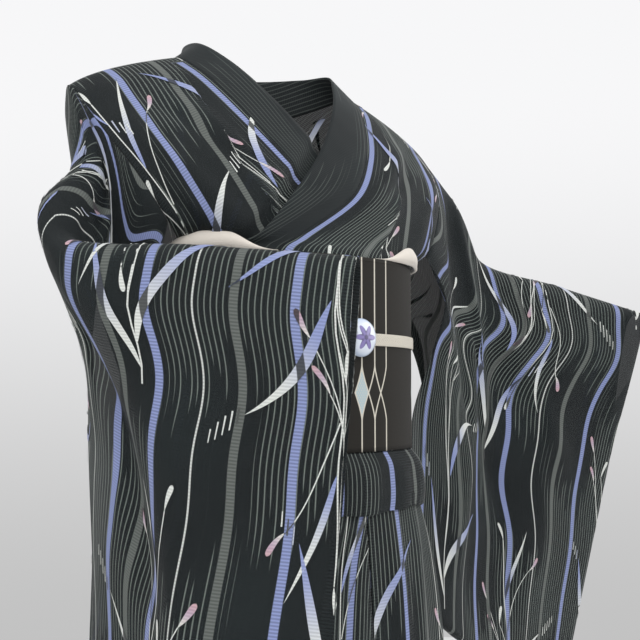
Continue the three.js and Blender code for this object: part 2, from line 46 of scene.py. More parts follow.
# The power of the rounded sections, the row at the shoulder line, and the steps from row to row
ROUND = 2.3
RIDGE = 8
BODY_STEPS = 10
# Where the left front's edge begins and how it slants, its reach, and how deep the right front lies
LAP_TOP, LAP_SLOPE, LAP_REACH, LAP_DEPTH = -105, 0.96, 113, 8
FRONT_Y = -20
# innerX, innerZ, outerX, outerZ, half, deep, side, neckX, lift, seam: one section a row, in mm. seam is
# the part of the way across at which the overlap panel meets the front.
BODY_ROWS = np.array([
    (-84, -298, 129.4, -298, 129.4, -128.2, -0.5, -124, 0, 0.44),
    (-78, -250, 129.4, -250, 129.4, -128.2, -0.5, -112, 0, 0.42),
    (-71, -210, 126, -210, 129.4, -128.2, -0.5, -103, 0, 0.40),
    (-54, -198, 152, -190, 174, -119, 0, -89, 0, 0.38),
    (20, -150, 178, -150, 205, -104, 0, -43, 0, 0.33),
    (57, -105, 197, -118, 220, -83, 0, 0, 0, 0.25),
    (83, -62, 207, -92, 226, -54, 1, 40, 10, 0.18),
    (99, -34, 211, -74, 226, -27, 2, 63, 15, 0.12),
    (107, -18, 212, -66, 226, 0, 4, 80, 20, 0.10),
    (87, -26, 206, -72, 222, 40, 4, 76, 34, 0.10),
    (50, -40, 199, -86, 218, 70, 3, 46, 47, 0.10),
    (0, -50, 191, -104, 212, 83, 2, 0, 52, 0.10),
    (0, -98, 178, -138, 202, 96, 1, 0, 0, 0.10),
    (0, -150, 162, -170, 188, 102, 0, 0, 0, 0.10),
    (0, -198, 148, -192, 170, 105, 0, 0, 0, 0.10),
    (0, -210, 126, -210, 129.4, 106, 0.5, 0, 0, 0.10),
    (0, -250, 129.4, -250, 129.4, 106, 0.5, 0, 0, 0.10),
    (0, -298, 129.4, -298, 129.4, 106, 0.5, 0, 0, 0.10),
], float)


def smooth(low, high, value):
    """0 below low and 1 above high, with a cubic that is level at both ends between them."""
    t = np.clip((value - low) / (high - low), 0, 1)
    return t * t * (3 - 2 * t)


def through_rows(points, steps):
    """Smooth curves through the same point of every row: between two rows each is a cubic whose slopes
    come from the rows beside them, weighted by the square roots of the distances."""
    ends = np.concatenate([2 * points[:1] - points[1:2], points, 2 * points[-1:] - points[-2:-1]])
    gap = np.maximum(np.linalg.norm(np.diff(ends, axis=0), axis=-1, keepdims=True), 1e-9) ** 0.5
    a, b, c, d = ends[:-3], ends[1:-2], ends[2:-1], ends[3:]
    before, here, after = gap[:-2], gap[1:-1], gap[2:]
    leave = ((b - a) / before - (c - a) / (before + here) + (c - b) / here) * here
    enter = ((c - b) / here - (d - b) / (here + after) + (d - c) / after) * here
    t = (np.arange(steps) / steps).reshape(1, -1, *([1] * (points.ndim - 1)))
    b, c, leave, enter = (x[:, None] for x in (b, c, leave, enter))
    spans = ((2 * t**3 - 3 * t**2 + 1) * b + (t**3 - 2 * t**2 + t) * leave
             + (3 * t**2 - 2 * t**3) * c + (t**3 - t**2) * enter)
    return np.concatenate([spans.reshape(-1, *points.shape[1:]), points[-1:]])


def joined(*columns):
    """Values side by side as the last axis of one array, after stretching them to one shape."""
    return np.stack(np.broadcast_arrays(*columns), -1)


def signed_power(value, power):
    """A power of a value's size, with the value's own sign."""
    return np.sign(value) * np.abs(value) ** power


def body_section(rows, x):
    """y of the body's rounded section at x: a superellipse of the row's half width and depth."""
    half, deep, side = rows[:, 4:5], rows[:, 5:6], rows[:, 6:7]
    reach = np.minimum(np.abs(x / half), 1)
    return side + deep * (1 - reach**ROUND) ** (1 / ROUND)


def half_body(across):
    """The left half of the upper body. across runs from the collar edge to the armhole edge, evenly in
    the section's angle, and the rows are joined by smooth curves."""
    inner_x, inner_z, outer_x, outer_z, half = (BODY_ROWS[:, k:k + 1] for k in range(5))
    turn = [np.arcsin(signed_power(x / half, ROUND / 2)) for x in (inner_x, outer_x)]
    angle = turn[0] * (1 - across) + turn[1] * across
    x = half * signed_power(np.sin(angle), 2 / ROUND)
    z = inner_z * (1 - across) + outer_z * across
    return through_rows(joined(x, body_section(BODY_ROWS, x), z), BODY_STEPS)


def lap_under(points):
    """How far the right half lies inside the left one: 8 mm where the left covers it, and then less."""
    edge = np.minimum((LAP_TOP - points[..., 2]) * LAP_SLOPE, LAP_REACH)
    fade = np.where(edge > 100, 14, 24)
    inside = LAP_DEPTH * (1 - smooth(edge + 1, edge + fade, points[..., 0]))
    return np.where(points[..., 1] < FRONT_Y, inside, 0)


def on_side(points, side):
    """The half as it is for the left, and mirrored and moved under the left one for the right."""
    placed = points * [side, 1, 1]
    if side < 0:
        placed[..., 1] += lap_under(points)
    return placed


def full_turn(count):
    """Angles at even steps all the way round."""
    return np.linspace(0, 2 * math.pi, count, endpoint=False)


def along(points, axis):
    """Distance from the first point of each row or column of a grid, measured along it."""
    steps = np.linalg.norm(np.diff(points, axis=axis), axis=-1)
    start = np.zeros_like(np.take(steps, [0], axis=axis))
    return np.concatenate([start, np.cumsum(steps, axis=axis)], axis=axis)


def looped(grid):
    """A grid with its first column again after its last one."""
    return np.concatenate([grid, grid[:, :1]], axis=1)


def corners(grid):
    """The values of a grid at the four corners of each of its quads."""
    return np.stack([grid[:-1, :-1], grid[:-1, 1:], grid[1:, 1:], grid[1:, :-1]], 2)


def grid_faces(rows, columns, loop=False):
    """Quads between neighbouring points of a grid, numbered row by row."""
    numbers = np.arange(rows * columns).reshape(rows, columns)
    return corners(looped(numbers) if loop else numbers).reshape(-1, 4)


def normals_of(points, loop=False):
    """Unit normals of a grid: the cross product of its differences across and along."""
    down = np.gradient(points, axis=0)
    if loop:
        across = np.roll(points, -1, axis=1) - np.roll(points, 1, axis=1)
    else:
        across = np.gradient(points, axis=1)
    normal = np.cross(across, down)
    return normal / np.maximum(np.linalg.norm(normal, axis=-1, keepdims=True), 1e-12)


def from_edges(points):
    """Distance of a grid's points from the nearer of its two long edges, so that seams stay in place."""
    across = along(points, 1)
    return np.minimum(across, across[:, -1:] - across)


def mesh_object(name, vertices, faces, corner_uv=None):
    """A mesh object at the origin, from points in mm, with a UV map in metres of cloth."""
    mesh = bpy.data.meshes.new(name)
    mesh.from_pydata((vertices * MM).tolist(), [], [list(face) for face in faces])
    if corner_uv is not None:
        layer = mesh.uv_layers.new(name="cloth")
        layer.data.foreach_set("uv", (corner_uv * MM).astype(np.float32).ravel())
    mesh.polygons.foreach_set("use_smooth", np.full(len(mesh.polygons), True))
    mesh.update()
    made = bpy.data.objects.new(name, mesh)
    bpy.context.scene.collection.objects.link(made)
    return made


def dress(made, material):
    """Give a piece its material and slot, and let it move with the one body."""
    made.data.materials.append(material)
    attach(made, "root")


def cloth_sheet(name, points, parts, outwards, cloth, wall=WALL, loop=False):
    """A thin wall of cloth on a grid of points. parts lists the places of its columns in the flat cloth,
    as one grid for each width, so that two widths can meet at a seam. outwards is 1 where the grid's own
    normals point out of the garment."""
    faces = grid_faces(*points.shape[:2], loop)
    places = np.concatenate([corners(part) for part in parts], axis=1).reshape(-1, 4, 2)
    if outwards < 0:
        faces, places = faces[:, ::-1], places[:, ::-1]
    made = mesh_object(name, points.reshape(-1, 3), faces, places.reshape(-1, 2))
    shell = made.modifiers.new("cloth thickness", "SOLIDIFY")
    shell.thickness = wall
    shell.offset = -1
    dress(made, cloth)
    return made


class Wire:
    """A value in a material. Arithmetic on it adds Math nodes, and add() makes any other node."""

    def __init__(self, tree, socket):
        self.tree, self.socket = tree, socket

    def add(self, kind, settings, values, output=0):
        node = self.tree.nodes.new(kind)
        for name, value in settings.items():
            setattr(node, name, value)
        for name, value in values.items():
            if isinstance(value, Wire):
                self.tree.links.new(value.socket, node.inputs[name])
            else:
                node.inputs[name].default_value = value
        return Wire(self.tree, node.outputs[output])

    def math(self, operation, *others):
        return self.add("ShaderNodeMath", {"operation": operation}, dict(enumerate((self, *others))))

    def __add__(self, other):
        return self.math("ADD", other)

    def __sub__(self, other):
        return self.math("SUBTRACT", other)

    def __mul__(self, other):
        return self.math("MULTIPLY", other)

    def __rsub__(self, other):
        return self.math("MULTIPLY", -1).math("ADD", other)

    __radd__, __rmul__ = __add__, __mul__

    def distance(self, other):
        """How far this value is from another one."""
        return (self - other).math("ABSOLUTE")

    def wave(self, length):
        """A sine wave of the value, from 0 to 1."""
        return (self * (2 * math.pi / length)).math("SINE") * 0.5 + 0.5

    def rise(self, low, high):
        """0 below low and 1 above high, level at both ends."""
        values = {"Value": self, "From Min": low, "From Max": high}
        return self.add("ShaderNodeMapRange", {"interpolation_type": "SMOOTHSTEP"}, values)

    def line(self, place, width, soft=0.35):
        """1 on a line of that width at a place, and 0 beside it."""
        return 1 - self.distance(place).rise(width * 0.5 - soft, width * 0.5 + soft)

    def blend(self, first, second):
        """The first colour where this value is 0, the second where it is 1, and mixtures between."""
        return self.add("ShaderNodeMix", {"data_type": "RGBA"}, {0: self, 6: first, 7: second}, 2)

    def mixed(self, other, share):
        """This colour, changed towards the other one by a share from 0 to 1."""
        return share.blend(self, other)

    def bump(self, strength, distance):
        """Normals of a surface whose height this value is, with the distance in metres."""
        return self.add("ShaderNodeBump", {}, {"Strength": strength, "Distance": distance, "Height": self})


def new_material(name, **constants):
    """A material with the numbers that are the same all over set on its shader."""
    made = bpy.data.materials.new(name)
    made.use_nodes = True
    shader = made.node_tree.nodes["Principled BSDF"]
    for socket, value in constants.items():
        shader.inputs[socket.replace("_", " ")].default_value = value
    return made, shader


def feed(shader, wires):
    """Connect values to the sockets of a shader."""
    for socket, wire in wires.items():
        wire.tree.links.new(wire.socket, shader.inputs[socket])


def cloth_places(tree):
    """How far a point lies across and along the flat cloth, in mm, from the piece's own UV map."""
    source = tree.nodes.new("ShaderNodeUVMap")
    source.uv_map = "cloth"
    places = Wire(tree, source.outputs[0])
    parts = (places.add("ShaderNodeSeparateXYZ", {}, {"Vector": places}, number) for number in (0, 1))
    return [part * (1 / MM) for part in parts]


# Stripes of one width of the cloth: distance from its edge and width. All lengths are in mm
REPEAT = 330
LAVENDER_STRIPES = ((39, 6.8), (152, 6.8), (219, 6.8))
GREY_STRIPES = ((84, 6.6), (187, 6.6), (290, 6.6))
WHITE_STRIPES = ((115, 1.4), (258, 1.4))
RIB = 2.5
HAIRLINE_PITCH = 4.7
HAIRLINE_STAGGER = 22
SEAM_ALLOWANCE = 6
BLACK = (0.0070, 0.0100, 0.0112, 1)
# Painted sheen: a lighter teal that the black cloth's base colour turns towards where light would catch its
# ribs and folds
PAINTED_SHEEN = (0.0195, 0.0300, 0.0312, 1)
LAVENDER = (0.27, 0.32, 0.57, 1)
GREY = (0.150, 0.165, 0.152, 1)
FINE_GREY = (0.190, 0.220, 0.198, 1)
WHITE = (0.72, 0.74, 0.70, 1)


def striped(across, stripes):
    """1 on any of the stripes and 0 between them."""
    total = across.line(*stripes[0])
    for place, width in stripes[1:]:
        total = total + across.line(place, width)
    return total


def hairlines(across, down):
    """Groups of fine lines. They fade in and out along a slanting front that two long waves make, and each
    line starts a little before or after its neighbour, and tapers there."""
    number = (across * (1 / HAIRLINE_PITCH)).math("FLOOR")
    stagger = (number * 2.4).math("SINE") * HAIRLINE_STAGGER
    front = (down + across * 1.2 + stagger).wave(430) + (down - across * 2.3 + stagger).wave(266) * 0.7
    width = front.rise(0.62, 0.84)
    place = across.math("FLOORED_MODULO", HAIRLINE_PITCH)
    aside = place.distance(HAIRLINE_PITCH / 2)
    return (1 - aside.rise(width * 0.5 - 0.25, width * 0.5 + 0.2)) * width.rise(0, 0.2)


def summer_cloth(name, layers, fineness):
    """The kimono's cloth. The ribs ladder the stripes and make the cloth more or less open, so that two
    layers of it play against each other. Painted sheen lightens the black along the ribs and in long soft
    patches that stand for the light on folds. Folded cloth is as dense as all its layers."""
    made, shader = new_material(name, IOR=1.35, Sheen_Weight=0.04, Sheen_Roughness=0.5)
    across, down = cloth_places(made.node_tree)
    place = across.math("FLOORED_MODULO", REPEAT)
    rib = down.wave(RIB)
    lavender, grey = striped(place, LAVENDER_STRIPES), striped(place, GREY_STRIPES)
    white = striped(place, WHITE_STRIPES)
    wide = (lavender + grey + white).math("MINIMUM", 1)
    fine = hairlines(across, down) * (1 - wide) * fineness
    ladder = rib * 0.34 + 0.66
    # Painted sheen: two long crossing waves stand for the light on soft folds, and with the ribs they set how
    # far the black's base colour is lightened towards the sheen colour
    painted_fold_sheen = (down + across * 1.9).wave(310) * (down - across * 0.8).wave(173)
    painted_sheen_share = (rib * 0.3 + 0.15) * (painted_fold_sheen * 0.9 + 0.3)
    colour = painted_sheen_share.blend(BLACK, PAINTED_SHEEN)
    colour = colour.mixed(FINE_GREY, fine * (rib * 0.06 + 0.86)).mixed(GREY, grey * ladder * 0.9)
    colour = colour.mixed(LAVENDER, lavender * ladder).mixed(WHITE, white * ladder)
    allowance = 1 - across.rise(SEAM_ALLOWANCE, SEAM_ALLOWANCE + 2)
    mist = (down + across * 0.7).wave(37) * 0.02 + (down - across).wave(53) * 0.02
    bump = (rib * 0.5 + wide * 0.4).bump(0.25, 0.0006)
    open_part = (1 - (rib * 0.16 + wide * 0.12 + allowance * 0.1 + 0.72)).math("MAXIMUM", 0)
    feed(shader, {"Base Color": colour, "Roughness": 0.72 - wide * 0.12 + mist,
                  "Alpha": 1 - open_part.math("POWER", layers), "Normal": bump})
    return made


kimono_cloth = summer_cloth("kimono_cloth", layers=1, fineness=1)
PANEL_COLUMNS = 49


def body_columns(first, last):
    """Parts of the way across, evenly spaced between two values that may change from row to row."""
    return first + (last - first) * np.linspace(0, 1, PANEL_COLUMNS)[None]


def crease_push(across, down, creases, fades=(-0.1, 0.25, 0.7, 1.1)):
    """How far creases move the cloth: each is a line in the flat cloth with a bell-shaped section, and
    fades at both ends, between the first two and the last two of four parts of its length."""
    total = np.zeros(np.broadcast(across, down).shape)
    for across0, down0, across1, down1, width, push in creases:
        line = np.array([across1 - across0, down1 - down0], float)
        x, y = across - across0, down - down0
        t = (x * line[0] + y * line[1]) / (line @ line)
        apart = (x * line[1] - y * line[0]) / math.hypot(*line)
        fade = smooth(*fades[:2], t) * (1 - smooth(*fades[2:], t))
        total += push * fade * np.exp(-((apart / width) ** 2))
    return total


# Creases of the upper body, front and then back: start and end across from the armhole and down from the
# shoulder line, half width and push, in mm
BODY_CREASES = [
    (18, -60, 70, -215, 11, 3.5), (45, -40, 118, -180, 9, -3), (78, -70, 150, -215, 12, 3.2),
    (10, -130, 34, -230, 8, -3), (125, -60, 176, -190, 10, -2.5), (96, -150, 128, -250, 8, 2.6),
    (20, 50, 66, 240, 13, 4), (62, 80, 92, 300, 10, -3), (110, 40, 128, 210, 16, 3),
    (150, 130, 142, 330, 11, -3),
]
OVERLAP_EDGE = 47
# The step at the shoulder line, and the one just before it where the overlap panel ends
SHOULDER_STEP = RIDGE * BODY_STEPS
OVERLAP_END = SHOULDER_STEP - 5
# What the grasses need of each sheet: its points, their places in the flat cloth and the way it faces
laid_flat = []
seam_at = BODY_ROWS[:, 9:10]
front_width = half_body(body_columns(seam_at, 1))
overlap_top = half_body(body_columns(0, seam_at))
for side, name in ((-1, "right"), (1, "left")):
    wide = on_side(front_width, side)
    narrow = on_side(overlap_top, side)
    wide_v, narrow_v = (along(grid, 0) - along(grid, 0)[SHOULDER_STEP] for grid in (wide, narrow))
    from_armhole = along(wide[:, ::-1], 1)[:, ::-1]
    from_collar = along(narrow, 1)
    behind = (np.arange(len(wide)) >= OVERLAP_END)[:, None]
    seam_across = from_armhole[:, :1] + from_collar[:, -1:] - from_collar
    narrow_u = np.where(behind, seam_across, OVERLAP_EDGE - from_collar)
    points = np.concatenate([narrow, wide[:, 1:]], axis=1)
    push = crease_push(np.concatenate([seam_across, from_armhole[:, 1:]], 1),
                       np.concatenate([narrow_v, wide_v[:, 1:]], 1), BODY_CREASES)
    points = points + normals_of(points) * (side * push * smooth(0, 12, from_edges(points)))[..., None]
    narrow, wide = points[:, :narrow.shape[1]], points[:, narrow.shape[1] - 1:]
    parts = [joined(narrow_u, narrow_v), joined(from_armhole, wide_v)]
    sheet = cloth_sheet(f"upper_body_{name}", points, parts, side, kimono_cloth)
    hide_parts(f"body_panel_{name}")
    laid_flat.append((sheet, wide, from_armhole, wide_v, side))
    laid_flat.append((sheet, *(grid[:OVERLAP_END] for grid in (narrow, narrow_u, narrow_v)), side))


# The collar, one long narrow band of the same cloth folded in two. It runs from inside the belt on the
# right up round the back of the neck, where it stands, and down on the left, over its right end.
FIRST_COLLAR_ROW = 1
BACK_NECK_ROW = 11
PLAIN_STRETCH = 300
COLLAR_COLUMNS = 13


def half_collar(width_part):
    """The left half of the collar: from its seam to its free edge along the body's own sections, raised
    towards the back of the neck."""
    rows = BODY_ROWS[FIRST_COLLAR_ROW:BACK_NECK_ROW + 1]
    x = rows[:, 0:1] * (1 - width_part) + rows[:, 7:8] * width_part
    z = rows[:, 1:2] + rows[:, 8:9] * width_part
    return through_rows(joined(x, body_section(rows, x), z), BODY_STEPS)


collar_half = half_collar(np.linspace(0, 1, COLLAR_COLUMNS)[None])
collar_left = on_side(collar_half, 1)[::-1]
collar_right = on_side(collar_half, -1)
collar_points = np.concatenate([collar_right, collar_left[1:]])
collar_cloth = joined(PLAIN_STRETCH + along(collar_points, 1), along(collar_points, 0))
folded_cloth = summer_cloth("folded_kimono_cloth", layers=2, fineness=0.3)
collar = cloth_sheet("collar_band", collar_points, [collar_cloth], 1, folded_cloth, wall=3 * WALL)
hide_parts("collar")


# The two sleeves, each one width of the cloth folded at the top, sewn to the shoulder down to the
# armhole's end and open below it, closed along the bottom and up the outer edge to the cuff opening.
# Both are bent at their middle, and the bags of cloth hang below in long folds.
CUFF_OPENING = 230
SLEEVE_DROP = 485
FRONT_ARMHOLE_ROW = 3
BACK_ARMHOLE_ROW = 14
ARMHOLE_SLIT = 0.8
MIDDLE_DEPTH = 1 / 3
# top, middle and foot of each ring, its facing, and its half widths at the top, hanging and low down
RIGHT_SLEEVE = np.array([
    (-212, 5, -66, -182, 0, -250, -184, -4, -558, -90, 30, 40, 6),
    (-203, -14, -128, -186, -20, -320, -182, -20, -600, -60, 17, 16, 7),
    (-241, -40, -175, -196, -48, -330, -177, -54, -640, -26, 16, 14, 7),
    (-243, -66, -210, -192, -76, -356, -170, -88, -680, 12, 16, 14, 7),
    (-178, -152, -221, -170, -152, -382, -182, -136, -700, 40, 20, 17, 6),
    (-97, -245, -233, -104, -236, -393, -119, -220, -712, 41, 18, 2.7, 2.7),
], float)
LEFT_SLEEVE = np.array([
    (212, 5, -66, 190, 0, -250, 208, 0, -562, -90, 30, 40, 6),
    (264, 13, -107, 262, 6, -280, 262, 16, -602, -88, 28, 26, 8),
    (315, 12, -171, 322, 16, -330, 332, 38, -638, -100, 26, 20, 8),
    (417, -32, -201, 424, -8, -355, 440, 48, -662, -114, 24, 15, 6),
    (519, -79, -231, 529, -34, -382, 550, 58, -682, -115, 20, 2.7, 2.7),
], float)
# The free inner edge of the front and the back layer, from the armhole's end down
RIGHT_FREE_EDGE = np.array([[(-164, -54, -240), (-166, -38, -330), (-174, -18, -440)],
                            [(-165, 50, -250), (-166, 32, -350), (-176, 14, -450)]], float)
LEFT_FREE_EDGE = np.array([[(197, -52, -230), (194, -34, -290), (182, -14, -366)],
                           [(222, 54, -222), (254, 44, -268), (234, 26, -366)]], float)
# layer (1 front, -1 back), ring and depth where a fold starts and ends, half width and push in mm
RIGHT_FOLDS = [
    (-1, 2.7, 0.16, 3.5, 0.62, 26, -11), (-1, 3.35, 0.05, 4.1, 0.9, 34, 8),
    (-1, 4.45, 0.3, 4.2, 0.98, 26, -5), (1, 1.5, 0.12, 0.4, 0.3, 22, -6),
    (1, 2.7, 0.18, 3.75, 0.85, 12, -8), (1, 3.0, 0.16, 4.05, 0.8, 15, 6), (1, 0.3, 0.1, 1.7, 0.15, 9, 4),
    (1, 0.3, 0.17, 1.8, 0.25, 9, -4), (1, 0.4, 0.26, 1.7, 0.36, 10, 4), (1, 4.5, 0.3, 4.75, 0.9, 16, 3),
]
LEFT_FOLDS = [
    (1, 0.5, 0.1, 1.3, 0.55, 24, -9), (1, 1.5, 0.12, 1.1, 0.9, 28, 8), (1, 2.1, 0.08, 2.4, 0.9, 26, -7),
    (1, 3.1, 0.15, 2.9, 0.95, 28, 6), (-1, 1.2, 0.2, 1.8, 0.9, 34, 8),
    (1, 0.8, 0.08, 2.0, 0.4, 14, 5), (1, 1.1, 0.2, 2.4, 0.62, 15, -5), (1, 2.0, 0.1, 3.3, 0.5, 16, 4),
]
RING_STEPS = 20
RING_APART = 90
FREE_EDGE_STEPS = 60
SLEEVE_DEPTHS = np.concatenate([np.linspace(0.004, 0.12, 18), np.linspace(0.13, 0.96, 92),
                                1 - 0.04 * np.cos(np.linspace(0.15, 1.5, 9))])


def layer_half(ring, depth, drop):
    """Half the distance between the two layers at a depth: a quarter circle at the top, then easing to
    the hanging width, and a quarter circle again at the bottom."""
    high, hang, low = ring[10:13]
    arch = high * math.pi / 2
    sewn_at = CUFF_OPENING / SLEEVE_DROP * drop
    upper = high + (hang - high) * smooth(arch, sewn_at, depth)
    lower = hang + (low - hang) * smooth(sewn_at, drop * 0.9, depth)
    left = np.clip((drop - depth) / low, 0, 1)
    lower = lower * np.sqrt(1 - (1 - left) ** 2)
    return np.where(depth <= arch, high * np.sin(np.minimum(depth / high, math.pi / 2)),
                    np.where(depth <= sewn_at, upper, lower))


def sleeve_ring(ring, depths, layer):
    """One layer of a ring: a bent line from the fold to the foot, with the layer's half width beside it."""
    top, middle, foot = ring[0:3], ring[3:6], ring[6:9]
    drop = np.linalg.norm(top - middle) + np.linalg.norm(middle - foot)
    depth = depths * drop
    high = ring[10]
    arch = high * math.pi / 2
    fallen = np.where(depth < arch, high * (1 - np.cos(depth / high)), depth - arch + high)
    reach = fallen / (drop - arch + high)
    below = np.cos(np.clip((reach - MIDDLE_DEPTH) / (1 - MIDDLE_DEPTH), 0, 1) * math.pi / 2) ** 1.5
    bend = np.where(reach < MIDDLE_DEPTH, smooth(0, MIDDLE_DEPTH, reach), below)
    straight = top + (foot - top) * reach[:, None]
    line = straight + (middle - (top + (foot - top) * MIDDLE_DEPTH)) * bend[:, None]
    facing = math.radians(ring[9])
    lateral = np.array([math.cos(facing), math.sin(facing), 0])
    return line + lateral * (layer * layer_half(ring, depth, drop))[:, None]


def sewn_layer(edge, foot, free_edge, depths, layer, low):
    """The ring at the shoulder: along the armhole seam, then down the free inner edge to the foot."""
    sewn = along(edge[None], 1)[0] / SLEEVE_DROP
    end = foot - np.array([0, layer * low, 0])
    path = through_rows(np.concatenate([edge[-1:], free_edge, end[None]]), FREE_EDGE_STEPS)
    free = along(path[None], 1)[0]
    free = sewn[-1] + (1 - sewn[-1]) * free / free[-1]
    line = np.concatenate([edge, path[1:]])
    place = np.concatenate([sewn, free[1:]])
    ring = np.stack([np.interp(depths, place, line[:, k]) for k in range(3)], -1)
    keep = 1 - 0.6 * smooth(0.96, 1, depths)
    ring[:, 1] = np.where(depths > sewn[-1], foot[1] + (ring[:, 1] - foot[1]) * keep, ring[:, 1])
    return ring


def fold_push(folds, layer, ring, depth):
    """How far the folds move a layer outwards, as creases do whose places are in mm of cloth."""
    flat = np.array([RING_APART, SLEEVE_DROP] * 2 + [1, 1])
    creases = [flat * row for its_layer, *row in folds if its_layer == layer]
    return crease_push(ring * RING_APART, depth * SLEEVE_DROP, creases, (-0.15, 0.2, 0.8, 1.15))


def ring_round(top, front, foot, back):
    """A closed ring of the sleeve: from its top down the front layer, and from its foot up the back."""
    return np.concatenate([top[None], front, foot[None], back[::-1]])


def sleeve_points(rings, side, free_edge, folds):
    """The sleeve's closed rings from the armhole to the cuff: down the front layer and up the back."""
    edge = on_side(half_body(np.ones((1, 1))), side)[:, 0]
    front_edge = edge[FRONT_ARMHOLE_ROW * BODY_STEPS:SHOULDER_STEP + 1][::-1]
    back_edge = edge[SHOULDER_STEP:BACK_ARMHOLE_ROW * BODY_STEPS + 1]
    foot, low = rings[0, 6:9], rings[0, 12]
    front = sewn_layer(front_edge, foot, free_edge[0], SLEEVE_DEPTHS, 1, low)
    back = sewn_layer(back_edge, foot, free_edge[1], SLEEVE_DEPTHS, -1, low)
    stations = [ring_round(edge[SHOULDER_STEP], front, foot, back) + [side * ARMHOLE_SLIT, 0, 0]]
    for ring in rings[1:]:
        front, back = (sleeve_ring(ring, SLEEVE_DEPTHS, layer) for layer in (1, -1))
        stations.append(ring_round(ring[0:3], front, ring[6:9], back))
    points = through_rows(np.array(stations), RING_STEPS)
    place = (np.arange(len(points)) / RING_STEPS)[:, None]
    depth = np.concatenate([[0], SLEEVE_DEPTHS, [1], SLEEVE_DEPTHS[::-1]])[None]
    layer = np.where(np.arange(depth.shape[1]) <= len(SLEEVE_DEPTHS), 1, -1)[None]
    facing = np.radians(np.interp(place[:, 0], np.arange(len(rings)), rings[:, 9]))[:, None]
    push = sum(fold_push(folds, which, place, depth) * (layer == which) for which in (1, -1))
    push = push * layer * smooth(0, 0.5, place)
    return points + joined(np.cos(facing) * push, np.sin(facing) * push, 0)


# depth, width and push of each sway of a sleeve's front, in mm
RIGHT_SWAYS = ((58, 26, -6), (116, 40, 17), (205, 48, 7), (320, 70, -12), (440, 60, -14))
LEFT_SWAYS = ((80, 34, 16), (165, 50, -17), (262, 70, -22), (400, 60, -6))
# Depth of one radian of the gathers near the shoulder, and their height, in mm
GATHER_LENGTH, GATHER_HEIGHT = 15, 9
BACK_SWAY = 0.6


def drift(across, depth, sways):
    """How far the stripes swing towards the cuff where the cloth is pushed along: bells of the depth,
    stronger away from the cuff, and short waves where it is gathered near the shoulder."""
    total = sum(push * np.exp(-(((depth - place) / width) ** 2)) for place, width, push in sways)
    waves = GATHER_HEIGHT * np.sin(depth / GATHER_LENGTH)
    waves = waves * smooth(225, 290, across) * (1 - smooth(200, 300, depth))
    return total * (0.7 + 0.8 * smooth(20, 220, across)) + waves


for side, name, rings, free_edge, folds, sways in (
        (-1, "right", RIGHT_SLEEVE, RIGHT_FREE_EDGE, RIGHT_FOLDS, RIGHT_SWAYS),
        (1, "left", LEFT_SLEEVE, LEFT_FREE_EDGE, LEFT_FOLDS, LEFT_SWAYS)):
    points = sleeve_points(rings, side, free_edge, folds)
    closed = looped(points)
    from_cuff = along(closed[::-1], 0)[::-1]
    down = np.concatenate([[0], SLEEVE_DEPTHS, [1]]) * SLEEVE_DROP
    bottom = len(SLEEVE_DEPTHS) + 1
    from_cuff[:, :bottom + 1] += drift(from_cuff[:, :bottom + 1], down[None], sways)
    from_cuff[:, bottom:] += drift(from_cuff[:, bottom:], down[None, ::-1], sways) * BACK_SWAY
    front = joined(from_cuff[:, :bottom + 1], -down)
    back = joined(from_cuff[:, bottom:], down[::-1])
    sheet = cloth_sheet(f"hanging_sleeve_{name}", points, [front, back], side, kimono_cloth, loop=True)
    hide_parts(f"sleeve_{name}")
    for first, last, layer in ((0, bottom + 1, front), (bottom, len(closed[0]), back)):
        turned = closed[:, first:last].swapaxes(0, 1)
        laid_flat.append((sheet, turned, layer[..., 0].T, layer[..., 1].T, -side))


# The skirt: two back widths, two front widths and two narrow overlap panels, wrapped round in a tube and
# lapped left over right, from inside the belt to the hem.
UNDER_INSET = 2.8
UNDER_FROM, UNDER_FULL = -88, -68
PANEL_GAP = 0.16
SKIRT_COLUMNS, SKIRT_STEPS = 61, 10
# z, half width, front depth and back depth of a section
SKIRT_ROWS = np.array([
    (-298.7, 129.4, 129, 106), (-342, 129.2, 128.7, 106), (-386, 129, 128.5, 106), (-400, 136, 131, 108),
    (-437, 143.4, 135.4, 115.4), (-480, 156, 139, 120), (-555, 167, 144, 128), (-640, 175, 145, 132),
    (-780, 178, 142, 130), (-1000, 172, 134, 122), (-1180, 168, 128, 115), (-1330, 168, 126, 112),
])


def section_point(rows, degrees, inset=0):
    """Points of rounded sections at angles from the front: a superellipse through half, front and back."""
    turn = np.radians(degrees)
    depth = np.where(np.cos(turn) > 0, rows[:, 2:3], rows[:, 3:4])
    x = (rows[:, 1:2] - inset) * signed_power(np.sin(turn), 2 / ROUND)
    y = -(depth - inset) * signed_power(np.cos(turn), 2 / ROUND)
    return joined(x, y, rows[:, 0:1])


def skirt_points(start, end, lapped_under):
    """One width of the skirt between two angles, inside the left front where it is lapped under."""
    gap = PANEL_GAP * np.sign(end - start)
    degrees = np.linspace(start + gap, end - gap, SKIRT_COLUMNS)[None]
    inset = UNDER_INSET * smooth(UNDER_FROM, UNDER_FULL, degrees) if lapped_under else 0 * degrees
    return through_rows(section_point(SKIRT_ROWS, degrees, inset), SKIRT_STEPS)


